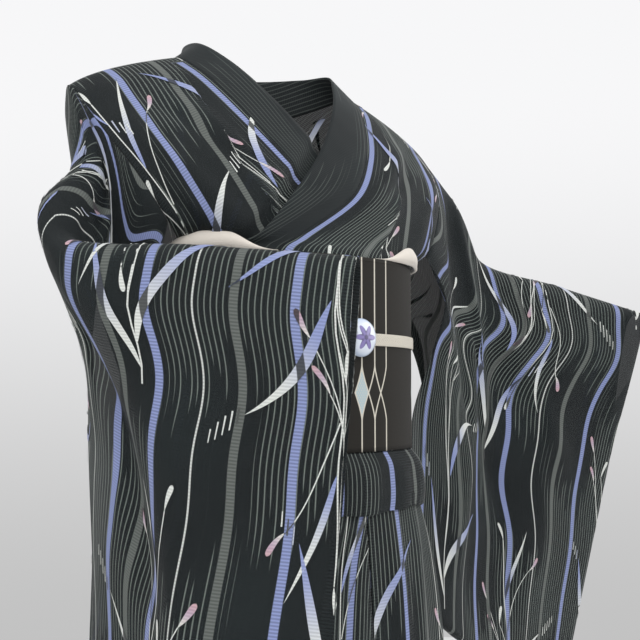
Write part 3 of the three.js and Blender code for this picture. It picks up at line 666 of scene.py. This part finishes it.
# Soft folds of every width, hanging from under the waist tuck: as the body's creases, from the belt down
SKIRT_CREASES = [
    (30, -380, 44, -700, 13, 5), (74, -390, 66, -560, 9, 3.4), (118, -380, 138, -860, 16, 5.5),
    (166, -400, 158, -640, 10, 3.8), (208, -390, 216, -980, 15, 5), (52, -760, 60, -1180, 18, 4),
    (182, -820, 172, -1230, 17, 4.5),
]
BELOW_SHOULDER = 250
for name, node, start, end, lapped_under in (
        ("back_width_right", "skirt_back_right", -180, -90, False),
        ("back_width_left", "skirt_back_left", 90, 180, False),
        ("front_width_right", "skirt_front_right", -90, -2, True),
        ("overlap_width_right", "overlap_right", -2, 60, True),
        ("front_width_left", "skirt_front_left", 2, 90, False),
        ("overlap_width_left", "overlap_left", -60, 2, False)):
    points = skirt_points(start, end, lapped_under)
    across, down = along(points, 1), -along(points, 0) - BELOW_SHOULDER
    push = np.abs(crease_push(across, down, SKIRT_CREASES))
    push = push * smooth(0, 20, from_edges(points)) * (-0.4 if lapped_under else 1)
    points = points - normals_of(points) * push[..., None]
    across, down = along(points, 1), -along(points, 0) - BELOW_SHOULDER
    sheet = cloth_sheet(name, points, [joined(across, down)], -1, kimono_cloth)
    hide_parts(node)
    laid_flat.append((sheet, points, across, down, -1))


# The grasses on the cloth: white stems with curved leaves that turn from lavender to white, and stalks
# with pink and white buds. Each is a thin mark on the face of the cloth, ladder-like with its ribs.
FLAT_STEP = 2.5
MARK_LIFT = 0.7
SEAM_REACH = 12
STEM, LEAF, BUD = 0, 1, 2
PINK = (0.60, 0.38, 0.40, 1)
# Strokes of one grass in mm from its root: start, bend and end of a curve, width, kind, and how white and
# how pink each end is. What is neither is lavender.
GRASS = np.array([
    (0, 0, 8, 170, -6, 340, 1.5, STEM, 1, 1, 0, 0),
    (2, 60, 12, 150, -34, 262, 1.2, STEM, 1, 1, 0, 0),
    (4, 110, 2, 180, -24, 224, 1.1, STEM, 1, 1, 0, 0),
    (3, 225, 14, 280, 34, 306, 1.1, STEM, 1, 1, 0, 0),
    (2, 176, 0, 212, -12, 232, 1.1, STEM, 1, 1, 0, 0),
    (1, 30, 22, 92, 82, 138, 8.5, LEAF, 0.9, 0, 0, 0),
    (6, 140, 24, 196, 74, 226, 8, LEAF, 0, 1, 0, 0),
    (0, 12, -16, 60, -36, 118, 7.5, LEAF, 1, 0.1, 0, 0),
    (0, 262, 6, 296, 28, 356, 5, LEAF, 0.1, 1, 0, 0),
    (-34, 262, -39, 270, -44, 282, 6.5, BUD, 1, 0, 0, 1),
    (-24, 224, -27, 234, -36, 243, 5.5, BUD, 1, 0, 0, 1),
    (-12, 232, -11, 244, -6, 256, 6, BUD, 1, 1, 0, 0),
    (34, 306, 42, 312, 46, 324, 6, BUD, 1, 0, 0, 1),
    (-6, 340, -7, 350, -12, 360, 5.5, BUD, 1, 1, 0, 0),
    (78.5, 221, 78.5, 227, 78.5, 233, 1.5, STEM, 1, 1, 0, 0),
    (83.2, 224, 83.2, 231, 83.2, 238, 1.4, STEM, 1, 1, 0, 0),
    (87.9, 228, 87.9, 235, 87.9, 242, 1.3, STEM, 1, 1, 0, 0),
    (92.6, 233, 92.6, 239, 92.6, 246, 1.2, STEM, 1, 1, 0, 0),
    (97.3, 239, 97.3, 244, 97.3, 249, 1.1, STEM, 1, 1, 0, 0),
    (-40.5, 116, -40.5, 122, -40.5, 129, 1.4, STEM, 0.5, 0.5, 0, 0),
    (-45.2, 122, -45.2, 128, -45.2, 134, 1.3, STEM, 0.7, 0.7, 0, 0),
    (-49.9, 128, -49.9, 133, -49.9, 139, 1.2, STEM, 0.9, 0.9, 0, 0),
], float)
STROKE_STEPS = 24
SMALLEST_FACE = 0.05
# Distances of the grasses across and along the cloth, and how far one reaches beside and above its root
GRASS_APART, GRASS_ROWS = 172, 430
GRASS_REACH, GRASS_HEIGHT = 60, 360
# How far the rows stand lower on each next sheet, and how far the roots wander across
SHEET_SHIFT, ROOT_WANDER = 57, 23


def evened(keys, values, even):
    """Values known at rising or falling keys, read at even places. Just outside the keys they are those of
    the nearest one, so that a mark ends along the seam, and farther out there are none."""
    known = ~np.isnan(keys)
    keys, values = keys[known], values[known]
    if len(keys) < 2:
        return np.full((len(even), values.shape[1]), np.nan)
    order = np.argsort(keys)
    read = np.stack([np.interp(even, keys[order], column[order]) for column in values.T], -1)
    read[(even < keys.min() - SEAM_REACH) | (even > keys.max() + SEAM_REACH)] = np.nan
    return read


def spread_out(points, across, down):
    """A sheet laid out flat: its points at even steps across and along the cloth, and the lowest step of
    each. First every row is evened across, and then every column along."""
    even_across = np.arange(across.min() - SEAM_REACH, across.max() + SEAM_REACH, FLAT_STEP)
    even_down = np.arange(down.min() - SEAM_REACH, down.max() + SEAM_REACH, FLAT_STEP)
    carried = np.concatenate([points, down[..., None]], -1)
    rows = np.stack([evened(keys, values, even_across) for keys, values in zip(across, carried)])
    columns = [evened(rows[:, k, 3], rows[:, k, :3], even_down) for k in range(len(even_across))]
    return np.stack(columns, 1), even_across[0], even_down[0]


def stroke_widths(t, kind):
    """Half the width along a stroke: nearly even on a stem, two points on a leaf, a drop on a bud."""
    stem = 0.5 - 0.15 * t
    leaf = 0.5 * np.sin(math.pi * t**0.8) ** 0.9
    bud = 0.5 * t**0.7 * np.sqrt(1 - t**7)
    return np.choose(kind.astype(int), [stem, leaf, bud])


def stroke_edges(strokes):
    """Both edges of every stroke in flat cloth: a quadratic curve, and its normal times the half width."""
    start, bend, end = (strokes[:, None, k:k + 2] for k in (0, 2, 4))
    t = np.linspace(0, 1, STROKE_STEPS)[None, :, None]
    middle = (1 - t) ** 2 * start + 2 * t * (1 - t) * bend + t**2 * end
    heading = (1 - t) * (bend - start) + t * (end - bend)
    aside = joined(-heading[..., 1], heading[..., 0])
    aside /= np.linalg.norm(heading, axis=-1, keepdims=True)
    half = strokes[:, None, 6:7] * stroke_widths(t, strokes[:, None, 7:8])
    return np.stack([middle - aside * half, middle + aside * half], 2)


def stroke_dyes(strokes):
    """The colour along every stroke, from lavender towards white and towards pink."""
    t = np.linspace(0, 1, STROKE_STEPS)[None, :, None]
    white = smooth(0.2, 0.8, strokes[:, None, 8:9] * (1 - t) + strokes[:, None, 9:10] * t)
    pink = strokes[:, None, 10:11] * (1 - t) + strokes[:, None, 11:12] * t
    dye = np.array(LAVENDER) * (1 - white) + np.array(WHITE) * white
    dye = dye * (1 - pink) + np.array(PINK) * pink
    return np.repeat(dye[:, :, None], 2, axis=2)


def read_grid(grid, across, down):
    """Values of a grid between its points, weighted by how near each of the four corners is."""
    column = np.clip(np.nan_to_num(across), 0, grid.shape[1] - 1.001)
    row = np.clip(np.nan_to_num(down), 0, grid.shape[0] - 1.001)
    j, i = column.astype(int), row.astype(int)
    x, y = (column - j)[..., None], (row - i)[..., None]
    return ((1 - y) * ((1 - x) * grid[i, j] + x * grid[i, j + 1])
            + y * ((1 - x) * grid[i + 1, j] + x * grid[i + 1, j + 1]))


def grass_roots(low, high, left, right, number):
    """Roots of the grasses on one sheet: staggered rows, every second grass mirrored."""
    across, down = np.meshgrid(np.arange(-10, right, GRASS_APART), np.arange(-2100, 2100, GRASS_ROWS))
    index = np.add.outer(np.arange(down.shape[0]), np.arange(down.shape[1]))
    down = down + GRASS_ROWS / 2 * (np.arange(down.shape[1]) % 2) + SHEET_SHIFT * number
    across = across + ROOT_WANDER * np.sin(index * 2.1 + number)
    roots = joined(across, down, 1 - 2.0 * (index % 2)).reshape(-1, 3)
    near = ((roots[:, 0] > left - GRASS_REACH)
            & (roots[:, 1] > low - GRASS_HEIGHT) & (roots[:, 1] < high + GRASS_HEIGHT))
    return roots[near]


def facing_sign(across, down, outwards):
    """Whether the evened grid's normals point out of the garment: it turns over where the cloth's own
    directions run against the sheet's rows and columns."""
    turned_across = np.sign(np.nanmean(np.diff(across, axis=1)))
    turned_down = np.sign(np.nanmean(np.diff(down, axis=0)))
    return outwards * turned_across * turned_down


def marks_on(name, sheet, points, across, down, outwards, number, cloth):
    """All strokes that fall on one sheet, joined into one mesh just above its face."""
    grid, left, low = spread_out(points, across, down)
    sign = facing_sign(across, down, outwards)
    lifted = grid + normals_of(grid) * sign * MARK_LIFT
    roots = grass_roots(low, down.max(), left, across.max(), number)
    edges = stroke_edges(GRASS)
    upward = np.where(roots[:, 1] > 0, -1.0, 1.0)
    turn = joined(roots[:, 2], upward)[:, None, None, None]
    places = roots[:, None, None, None, :2] + edges[None] * turn
    column, row = (places[..., 0] - left) / FLAT_STEP, (places[..., 1] - low) / FLAT_STEP
    worn = read_grid(lifted, column, row)
    inside = (column > 0) & (row > 0) & (column < grid.shape[1] - 1) & (row < grid.shape[0] - 1)
    worn[~inside] = np.nan
    dyes = np.broadcast_to(stroke_dyes(GRASS)[None], (*worn.shape[:-1], 4))
    worn = worn.reshape(-1, 3)
    stroke_firsts = np.arange(0, len(worn), 2 * STROKE_STEPS)
    faces = np.add.outer(stroke_firsts, grid_faces(STROKE_STEPS, 2)).reshape(-1, 4)
    faces = faces[~np.isnan(worn[faces]).any(axis=(1, 2))]
    if not len(faces):
        return
    facing = np.cross(worn[faces[:, 2]] - worn[faces[:, 0]], worn[faces[:, 3]] - worn[faces[:, 1]])
    normals = read_grid(normals_of(grid), column, row).reshape(-1, 3)[faces[:, 0]]
    wrong = (facing * normals * sign).sum(-1) < 0
    faces[wrong] = faces[wrong][:, ::-1]
    faces = faces[np.linalg.norm(facing, axis=-1) > SMALLEST_FACE]
    used, faces = np.unique(faces, return_inverse=True)
    faces = faces.reshape(-1, 4)
    flat_places = places.reshape(-1, 2)[used]
    made = mesh_object(name, worn[used], faces, flat_places[faces].reshape(-1, 2))
    layer = made.data.color_attributes.new("dye", "FLOAT_COLOR", "POINT")
    layer.data.foreach_set("color", dyes.reshape(-1, 4)[used].astype(np.float32).ravel())
    made.parent = sheet
    dress(made, cloth)


def dyed_marks(name):
    """The dye of the grasses. It is laddered by the ribs, and dark where a mark crosses a stripe."""
    made, shader = new_material(name, IOR=1.4, Sheen_Weight=0.12)
    across, down = cloth_places(made.node_tree)
    place = across.math("FLOORED_MODULO", REPEAT)
    crossed = striped(place, LAVENDER_STRIPES) + striped(place, GREY_STRIPES)
    rib = down.wave(RIB)
    attribute = made.node_tree.nodes.new("ShaderNodeAttribute")
    attribute.attribute_name = "dye"
    dye = Wire(made.node_tree, attribute.outputs["Color"])
    colour = dye.mixed(BLACK, rib * 0.25).mixed(BLACK, crossed * 0.9)
    feed(shader, {"Base Color": colour, "Roughness": 0.55 + rib * 0.15, "Normal": rib.bump(0.2, 0.0005)})
    return made


grass_dye = dyed_marks("grass_dye")
for number, (sheet, points, across, down, outwards) in enumerate(laid_flat):
    marks_on(f"grasses_{number + 1}", sheet, points, across, down, outwards, number, grass_dye)


# The waist tuck, the surplus length of the body panels, folded up under the belt. Its lower edge is a
# soft fold, and it bulges out a little more than the belt.
TUCK_ROWS = np.array([
    (-384.4, 133, 133, 110), (-396, 142, 139, 117), (-418, 148, 141, 121), (-433, 148, 140, 120),
    (-437, 147, 139, 119), (-436, 145, 137.5, 117.5), (-424, 144.6, 137.4, 117.4),
])
TUCK_STEPS = 8
WIDEST_TUCK_ROW = 3
TUCK_BELOW_SHOULDER = 180
degrees = np.arange(0, 360, 2)[None]
tuck_points = through_rows(section_point(TUCK_ROWS, degrees), TUCK_STEPS)
turn = np.radians(degrees)
gathers = 1.3 * np.sin(9 * turn + 1) + 0.9 * np.sin(16 * turn + 2.1) + 0.7 * np.sin(23 * turn)
gathers = gathers * smooth(-386, -410, tuck_points[..., 2])
tuck_points = tuck_points - normals_of(tuck_points, loop=True) * gathers[..., None]
round_it = looped(tuck_points)
tuck_across = along(round_it, 1)[WIDEST_TUCK_ROW * TUCK_STEPS]
tuck_cloth = joined(tuck_across, -along(round_it, 0) - TUCK_BELOW_SHOULDER)
tuck = cloth_sheet("waist_fold", tuck_points, [tuck_cloth], -1, kimono_cloth, loop=True)
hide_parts("waist_tuck")


# The belt: a stiff dark brown band, 172 mm high, wound round the waist over the upper body and the tuck.
# It has woven cream lines that part and cross in pointed ovals.
BELT_TOP, BELT_BOTTOM = -212, -384
BELT = (134, 134, 111)
BELT_WALL = 0.003
BELT_RINGS = 40
# How far the rounded edges of the belt stand in, in height and in depth
EDGE_UP, EDGE_IN = 0.6, 1.2
belt_z = np.linspace(BELT_TOP, BELT_BOTTOM, BELT_RINGS)
belt_z = np.concatenate([[BELT_TOP - EDGE_UP], belt_z, [BELT_BOTTOM + EDGE_UP]])
belt_rows = joined(belt_z, *BELT)
belt_rows[[0, -1], 1:] -= EDGE_IN
belt_points = section_point(belt_rows, degrees)
round_it = looped(belt_points)
belt_round = along(round_it, 1)[1]
belt_cloth = joined(belt_round, -along(round_it, 0))
# Repeat of the lines round the belt and their places in it, and the ovals' place under the belt's top
LINE_REPEAT = belt_round[-1] / 8
LINE_PLACES = (36, 52, 68)
LINE_WIDTH = 1.5
LINE_SHIFT = 31.6
OVAL_MIDDLE = -121.5
OVAL_HALF = 24
BROWN = (0.0110, 0.0092, 0.0070, 1)
LIGHT_BROWN = (0.0190, 0.0168, 0.0130, 1)
CREAM = (0.66, 0.62, 0.53, 1)
PALE_BLUE = (0.42, 0.55, 0.60, 1)


def belt_silk(name):
    """The belt's cloth: matt, finely ribbed both ways, with three cream lines a repeat that part and
    cross again to make pointed ovals, one of them filled with a pale blue trellis."""
    made, shader = new_material(name, IOR=1.3, Sheen_Weight=0.03, Sheen_Roughness=0.6)
    across, down = cloth_places(made.node_tree)
    group = (across + LINE_SHIFT).math("FLOORED_MODULO", LINE_REPEAT)
    near = (1 - down.distance(OVAL_MIDDLE) * (1 / OVAL_HALF)).math("MAXIMUM", 0)
    bulge = near.math("POWER", 1.35) * (LINE_PLACES[1] - LINE_PLACES[0]) * 0.5
    parted, crossed = group + bulge, group - bulge
    lines = parted.line(LINE_PLACES[2], LINE_WIDTH, 0.3)
    for place in LINE_PLACES[:2]:
        for shifted in (parted, crossed):
            lines = lines.math("MAXIMUM", shifted.line(place, LINE_WIDTH, 0.3))
    oval = (1 - (group.distance(LINE_PLACES[0]) - bulge).rise(-0.8, 0)) * near.rise(0.02, 0.06)
    trellis = (group + down * 0.62).wave(2.6) * (group - down * 0.62).wave(2.6)
    weave = across.wave(0.9) * 0.5 + down.wave(1.1) * 0.5
    pale = trellis.blend(PALE_BLUE, CREAM)
    colour = weave.blend(BROWN, LIGHT_BROWN).mixed(pale, oval).mixed(CREAM, lines)
    bump = (weave + lines * 0.6).bump(0.3, 0.0004)
    feed(shader, {"Base Color": colour, "Roughness": 0.7 - lines * 0.15 + weave * 0.06, "Normal": bump})
    return made


belt_material = belt_silk("belt_cloth")
belt = cloth_sheet("wound_belt", belt_points, [belt_cloth], -1, belt_material, BELT_WALL, True)
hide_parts("belt_band")


# The scarf under the belt's upper edge: cream crepe drawn round in soft folds that show over the belt in
# two stretches, one on each side of the crossed collar.
SCARF_PATH_Z = -205
CREPE = (0.78, 0.72, 0.64, 1)


def crepe(name):
    """Cream crepe: a pebbled, slightly uneven surface with faint long folds."""
    made, shader = new_material(name, IOR=1.4, Sheen_Weight=0.3, Sheen_Roughness=0.5)
    tree = made.node_tree
    place = Wire(tree, tree.nodes.new("ShaderNodeTexCoord").outputs["Object"])
    grain = place.add("ShaderNodeTexNoise", {}, {"Vector": place, "Scale": 900, "Detail": 2}, 0)
    patch = place.add("ShaderNodeTexNoise", {}, {"Vector": place, "Scale": 45, "Detail": 2}, 0)
    colour = patch.blend(tuple(0.86 * v for v in CREPE[:3]) + (1,), CREPE)
    feed(shader, {"Base Color": colour, "Roughness": 0.7 + grain * 0.15, "Normal": grain.bump(0.5, 0.0006)})
    return made


SCARF_STEPS, SCARF_ROUND, SCARF_COLUMNS = 110, 32, 61
SCARF_HIGH, SCARF_THICK, SCARF_CLEAR, SCARF_BACK_X = 8, 3.6, 4.4, 96
SCARF_BOTTOM = -211.7


def scarf_path(front_x):
    """Where the body panels cross the scarf's height, in front from a distance from the middle, round the
    side and behind: between two rows, in proportion to their heights."""
    columns = half_body(np.linspace(0, 1, SCARF_COLUMNS)[None])

    def crossing(rows):
        above = np.argmax(rows[..., 2] > SCARF_PATH_Z, axis=0)
        place = np.arange(rows.shape[1])
        low, high = rows[above - 1, place], rows[above, place]
        return low + (high - low) * ((SCARF_PATH_Z - low[:, 2]) / (high[:, 2] - low[:, 2]))[:, None]

    front, back = crossing(columns), crossing(columns[::-1])[::-1]
    return np.concatenate([front[front[:, 0] > front_x], back[back[:, 0] > SCARF_BACK_X]])


def tube_object(name, rings, ring_uv):
    """A closed tube through rings of points, with a flat face over each end."""
    rows, columns = rings.shape[:2]
    quads = grid_faces(rows, columns, loop=True)
    ends = [list(range(columns))[::-1], list(range((rows - 1) * columns, rows * columns))]
    uv = np.concatenate([corners(ring_uv).reshape(-1, 2), np.zeros((2 * columns, 2))])
    return mesh_object(name, rings.reshape(-1, 3), quads.tolist() + ends, uv)


def scarf_rings(front_x, fall, side):
    """Rings round the scarf's path: an oval that thins at both ends, with three soft folds along it that
    wander up and down. It falls flat where it goes under the cloth at the side."""
    path = scarf_path(front_x) * [1, 1, 0]
    length = along(path[None], 1)[0]
    t = np.linspace(0, 1, SCARF_STEPS)
    middle = np.stack([np.interp(t * length[-1], length, path[:, k]) for k in range(3)], -1)
    tangent = np.gradient(middle, axis=0)
    tangent /= np.linalg.norm(tangent, axis=1, keepdims=True)
    outwards = joined(tangent[:, 1], -tangent[:, 0], 0)
    swell = smooth(0, 0.2, t) * (1 - 0.8 * smooth(*fall, t))
    tip = smooth(0, 0.16, t)
    high = SCARF_HIGH * (0.08 + 0.92 * swell) * (0.4 + 0.6 * tip)
    thick = SCARF_THICK * (0.3 + 0.7 * swell)
    clear = SCARF_CLEAR * (1 + 0.6 * smooth(95, 122, middle[:, 0]))
    middle = middle + outwards * (thick + clear)[:, None]
    turn = full_turn(SCARF_ROUND)
    fold = 1 + 0.13 * np.sin(3 * turn + 2.2 * np.sin(5 * t)[:, None]) * swell[:, None]
    out = outwards[:, None] * (thick[:, None] * fold * np.cos(turn))[..., None]
    rise = (SCARF_BOTTOM + high)[:, None] + high[:, None] * fold * np.sin(turn)
    rings = middle[:, None] + out
    rings[..., 2] = rise
    rings_uv = joined(along(looped(rings), 1), along(rings, 0)[:, :1])
    return rings * [side, 1, 1], rings_uv


crepe_silk = crepe("scarf_cloth")
# Each stretch begins at a distance from the middle, falls flat over a part of its length, and is so long
for side, name, front_x, fall, length in (
        (-1, "right", 72, (0.3, 0.46), 0.21), (1, "left", 24, (0.2, 0.33), 0.25)):
    rings, rings_uv = scarf_rings(front_x, fall, side)
    if side < 0:
        rings, rings_uv = rings[:, ::-1], rings_uv[:, ::-1]
    scarf = tube_object(f"scarf_fold_{name}", rings, rings_uv)
    dress(scarf, crepe_silk)
    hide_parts(f"scarf_{name}")


# The belt's end, of the same stiff cloth. It lies flat on the band behind, a few mm higher than the band,
# and is held there by the cord.
END_FROM, END_TO = 152, 208
END_TOP, END_BOTTOM = -207, -380
END_OUT = 3.6
END_SHIFT = 60
END_RINGS, END_COLUMNS = 30, 40
end_rows = joined(np.linspace(END_TOP, END_BOTTOM, END_RINGS), *BELT)
end_points = section_point(end_rows, np.linspace(END_FROM, END_TO, END_COLUMNS)[None], -END_OUT)
end_cloth = joined(along(end_points, 1) + END_SHIFT, -along(end_points, 0))
end_sheet = cloth_sheet("flat_belt_end", end_points, [end_cloth], -1, belt_material, BELT_WALL)
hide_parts("belt_end")


# The cord that holds the belt: a flat cream braid, 11 mm high, wound round the middle of the belt once.
# Its two ends meet under the brooch.
CORD_Z, CORD_HEIGHT, CORD_WALL = -285, 11, 1.6
CORD_OUT = 135.9
CORD_BACK = 119.6
BRAID_PITCH = 3.2
BRAID = (0.80, 0.75, 0.64, 1)
BRAID_SHADE = (0.50, 0.46, 0.38, 1)
CORD_RINGS, CORD_ROUND = 180, 20


def braid(name):
    """A flat braid: threads that slant up and down over each other, with a shadow where they meet."""
    made, shader = new_material(name, IOR=1.4, Sheen_Weight=0.2)
    across, down = cloth_places(made.node_tree)
    plait = (across + down * 1.4).wave(BRAID_PITCH) * (across - down * 1.4).wave(BRAID_PITCH)
    thread = (across * 1.7 + down).wave(0.8) * 0.25
    height = plait + thread
    colour = height.rise(0, 0.7).blend(BRAID_SHADE, BRAID)
    feed(shader, {"Base Color": colour, "Roughness": 0.62 + thread * 0.3, "Normal": height.bump(0.6, 0.0006)})
    return made


# The cord's section is a superellipse, nearly a rectangle with round corners
SQUARE = 0.45
section_turn = full_turn(CORD_ROUND)
cord_out = CORD_WALL / 2 * signed_power(np.cos(section_turn), SQUARE) - CORD_WALL / 2
cord_up = CORD_HEIGHT / 2 * signed_power(np.sin(section_turn), SQUARE)
cord_degrees = np.linspace(0, 360, CORD_RINGS + 1)[None]
cord_rows = joined(CORD_Z + cord_up, CORD_OUT + cord_out, CORD_OUT + cord_out, CORD_BACK + cord_out)
cord_points = section_point(cord_rows, cord_degrees).swapaxes(0, 1)
cord_uv = corners(joined(along(cord_points, 0)[:, :1], along(looped(cord_points), 1)))
cord_faces = grid_faces(CORD_RINGS + 1, CORD_ROUND, loop=True) % (CORD_RINGS * CORD_ROUND)
cord = mesh_object("wound_cord", cord_points[:-1].reshape(-1, 3), cord_faces, cord_uv.reshape(-1, 2))
dress(cord, braid("cord_braid"))
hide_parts("belt_cord")


# The brooch: a pressed glass dome, milky blue towards its rim, with a small lavender flower inside it.
# It stands on the cord in front and hides where the cord's ends meet.
BROOCH_RADIUS, BROOCH_HEIGHT, BROOCH_Z = 17, 8, -284
BROOCH_BACK = -137
PETALS = 6
MILK = (0.74, 0.80, 0.90, 1)
PETAL = (0.24, 0.20, 0.46, 1)
DEEP = (0.06, 0.05, 0.12, 1)
RIM_BLUE = (0.45, 0.58, 0.80, 1)


def milky_glass(name):
    """Milky glass: a six-petalled flower whose outline is a cosine of the angle round the middle, darker
    at its heart and between its petals, under a hard gloss."""
    made, shader = new_material(name, IOR=1.5, Coat_Weight=0.8, Coat_Roughness=0.05)
    across, up = cloth_places(made.node_tree)
    reach = (across * across + up * up).math("SQRT")
    angle = up.math("ARCTAN2", across)
    ripple = (angle * PETALS).math("COSINE")
    outline = ripple * 3 + 8.6
    flower = 1 - (reach - outline).rise(-0.5, 0.5)
    heart = 1 - reach.rise(1.6, 3)
    rim = reach.rise(12, 16.5)
    shade = (1 - ripple.rise(-0.6, 0.5)) * reach.rise(1, 5) * 0.6
    colour = (rim * 0.55).blend(MILK, RIM_BLUE)
    colour = colour.mixed(PETAL, flower).mixed(DEEP, (shade * flower + heart * 0.8).math("MINIMUM", 1))
    feed(shader, {"Base Color": colour, "Roughness": 0.12 + flower * 0.1})
    return made


DOME_ROUND, DOME_STEPS = 64, 3
# Parts of the radius and of the height, from the top of the dome to its foot
DOME_ROWS = np.array([
    [0.001, 1], [0.12, 0.995], [0.25, 0.97], [0.4, 0.93], [0.55, 0.86], [0.7, 0.75],
    [0.82, 0.61], [0.91, 0.45], [0.97, 0.28], [1, 0.14], [0.985, 0.05], [0.93, 0],
])
dome_rows = through_rows(DOME_ROWS, DOME_STEPS)
dome_x, dome_z = (BROOCH_RADIUS * dome_rows[:, :1] * wave(full_turn(DOME_ROUND)) for wave in (np.cos, np.sin))
dome_y = BROOCH_BACK - BROOCH_HEIGHT * dome_rows[:, 1:]
dome_points = joined(dome_x, dome_y, BROOCH_Z + dome_z)
dome = tube_object("glass_brooch", dome_points, looped(joined(dome_x, dome_z)))
dress(dome, milky_glass("brooch_glass"))
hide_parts("brooch")


# The place where the garment is shown: a plain pale floor under it and soft light all round.
FLOOR_Z = -1345
FLOOR_RADII = (0, 800, 1800, 3200)
FLOOR_ROUND = 96
floor_x, floor_y = (np.outer(FLOOR_RADII, wave(full_turn(FLOOR_ROUND))) for wave in (np.cos, np.sin))
floor_points = joined(floor_x, floor_y, FLOOR_Z)
floor_faces = grid_faces(*floor_x.shape, loop=True)[:, ::-1]
floor = mesh_object("floor", floor_points.reshape(-1, 3), floor_faces)
floor_paint, shader = new_material("floor_paint", Base_Color=(0.72, 0.72, 0.72, 1), Roughness=0.8)
floor.data.materials.append(floor_paint)

# How far the camera looks up from level, and the way it faces, in degrees
CAMERA_RISE, CAMERA_HEADING = 4.3, -39.1
bpy.context.scene.view_settings.view_transform = "Standard"
camera = bpy.data.cameras.new("camera")
camera.lens, camera.sensor_width = 54.3, 36
eye = bpy.data.objects.new("camera", camera)
bpy.context.scene.collection.objects.link(eye)
bpy.context.scene.camera = eye
eye.location = (-0.560, -0.770, -0.332)
eye.rotation_euler = (math.radians(90 + CAMERA_RISE), 0, math.radians(CAMERA_HEADING))


def area_light(name, watts, size, location, turn):
    """A soft square light at a place, turned from straight down."""
    light = bpy.data.lights.new(name, "AREA")
    light.energy, light.size = watts, size
    lamp = bpy.data.objects.new(name, light)
    lamp.location, lamp.rotation_euler = location, [math.radians(angle) for angle in turn]
    bpy.context.scene.collection.objects.link(lamp)


area_light("key", 34, 2.5, (-1.5, -2.0, 1.2), (60, 0, -37))
area_light("fill", 14, 2.0, (2.2, -1.2, 0.6), (70, 0, 60))

room = bpy.data.worlds.new("room")
room.use_nodes = True
tree = room.node_tree
direction = Wire(tree, tree.nodes.new("ShaderNodeTexCoord").outputs["Generated"])
height = direction.add("ShaderNodeSeparateXYZ", {}, {"Vector": direction}, 2)
wall = height.rise(-0.25, 0.30).blend((0.54, 0.54, 0.54, 1), (0.93, 0.93, 0.94, 1))
tree.links.new(wall.socket, tree.nodes["Background"].inputs["Color"])
bpy.context.scene.world = room
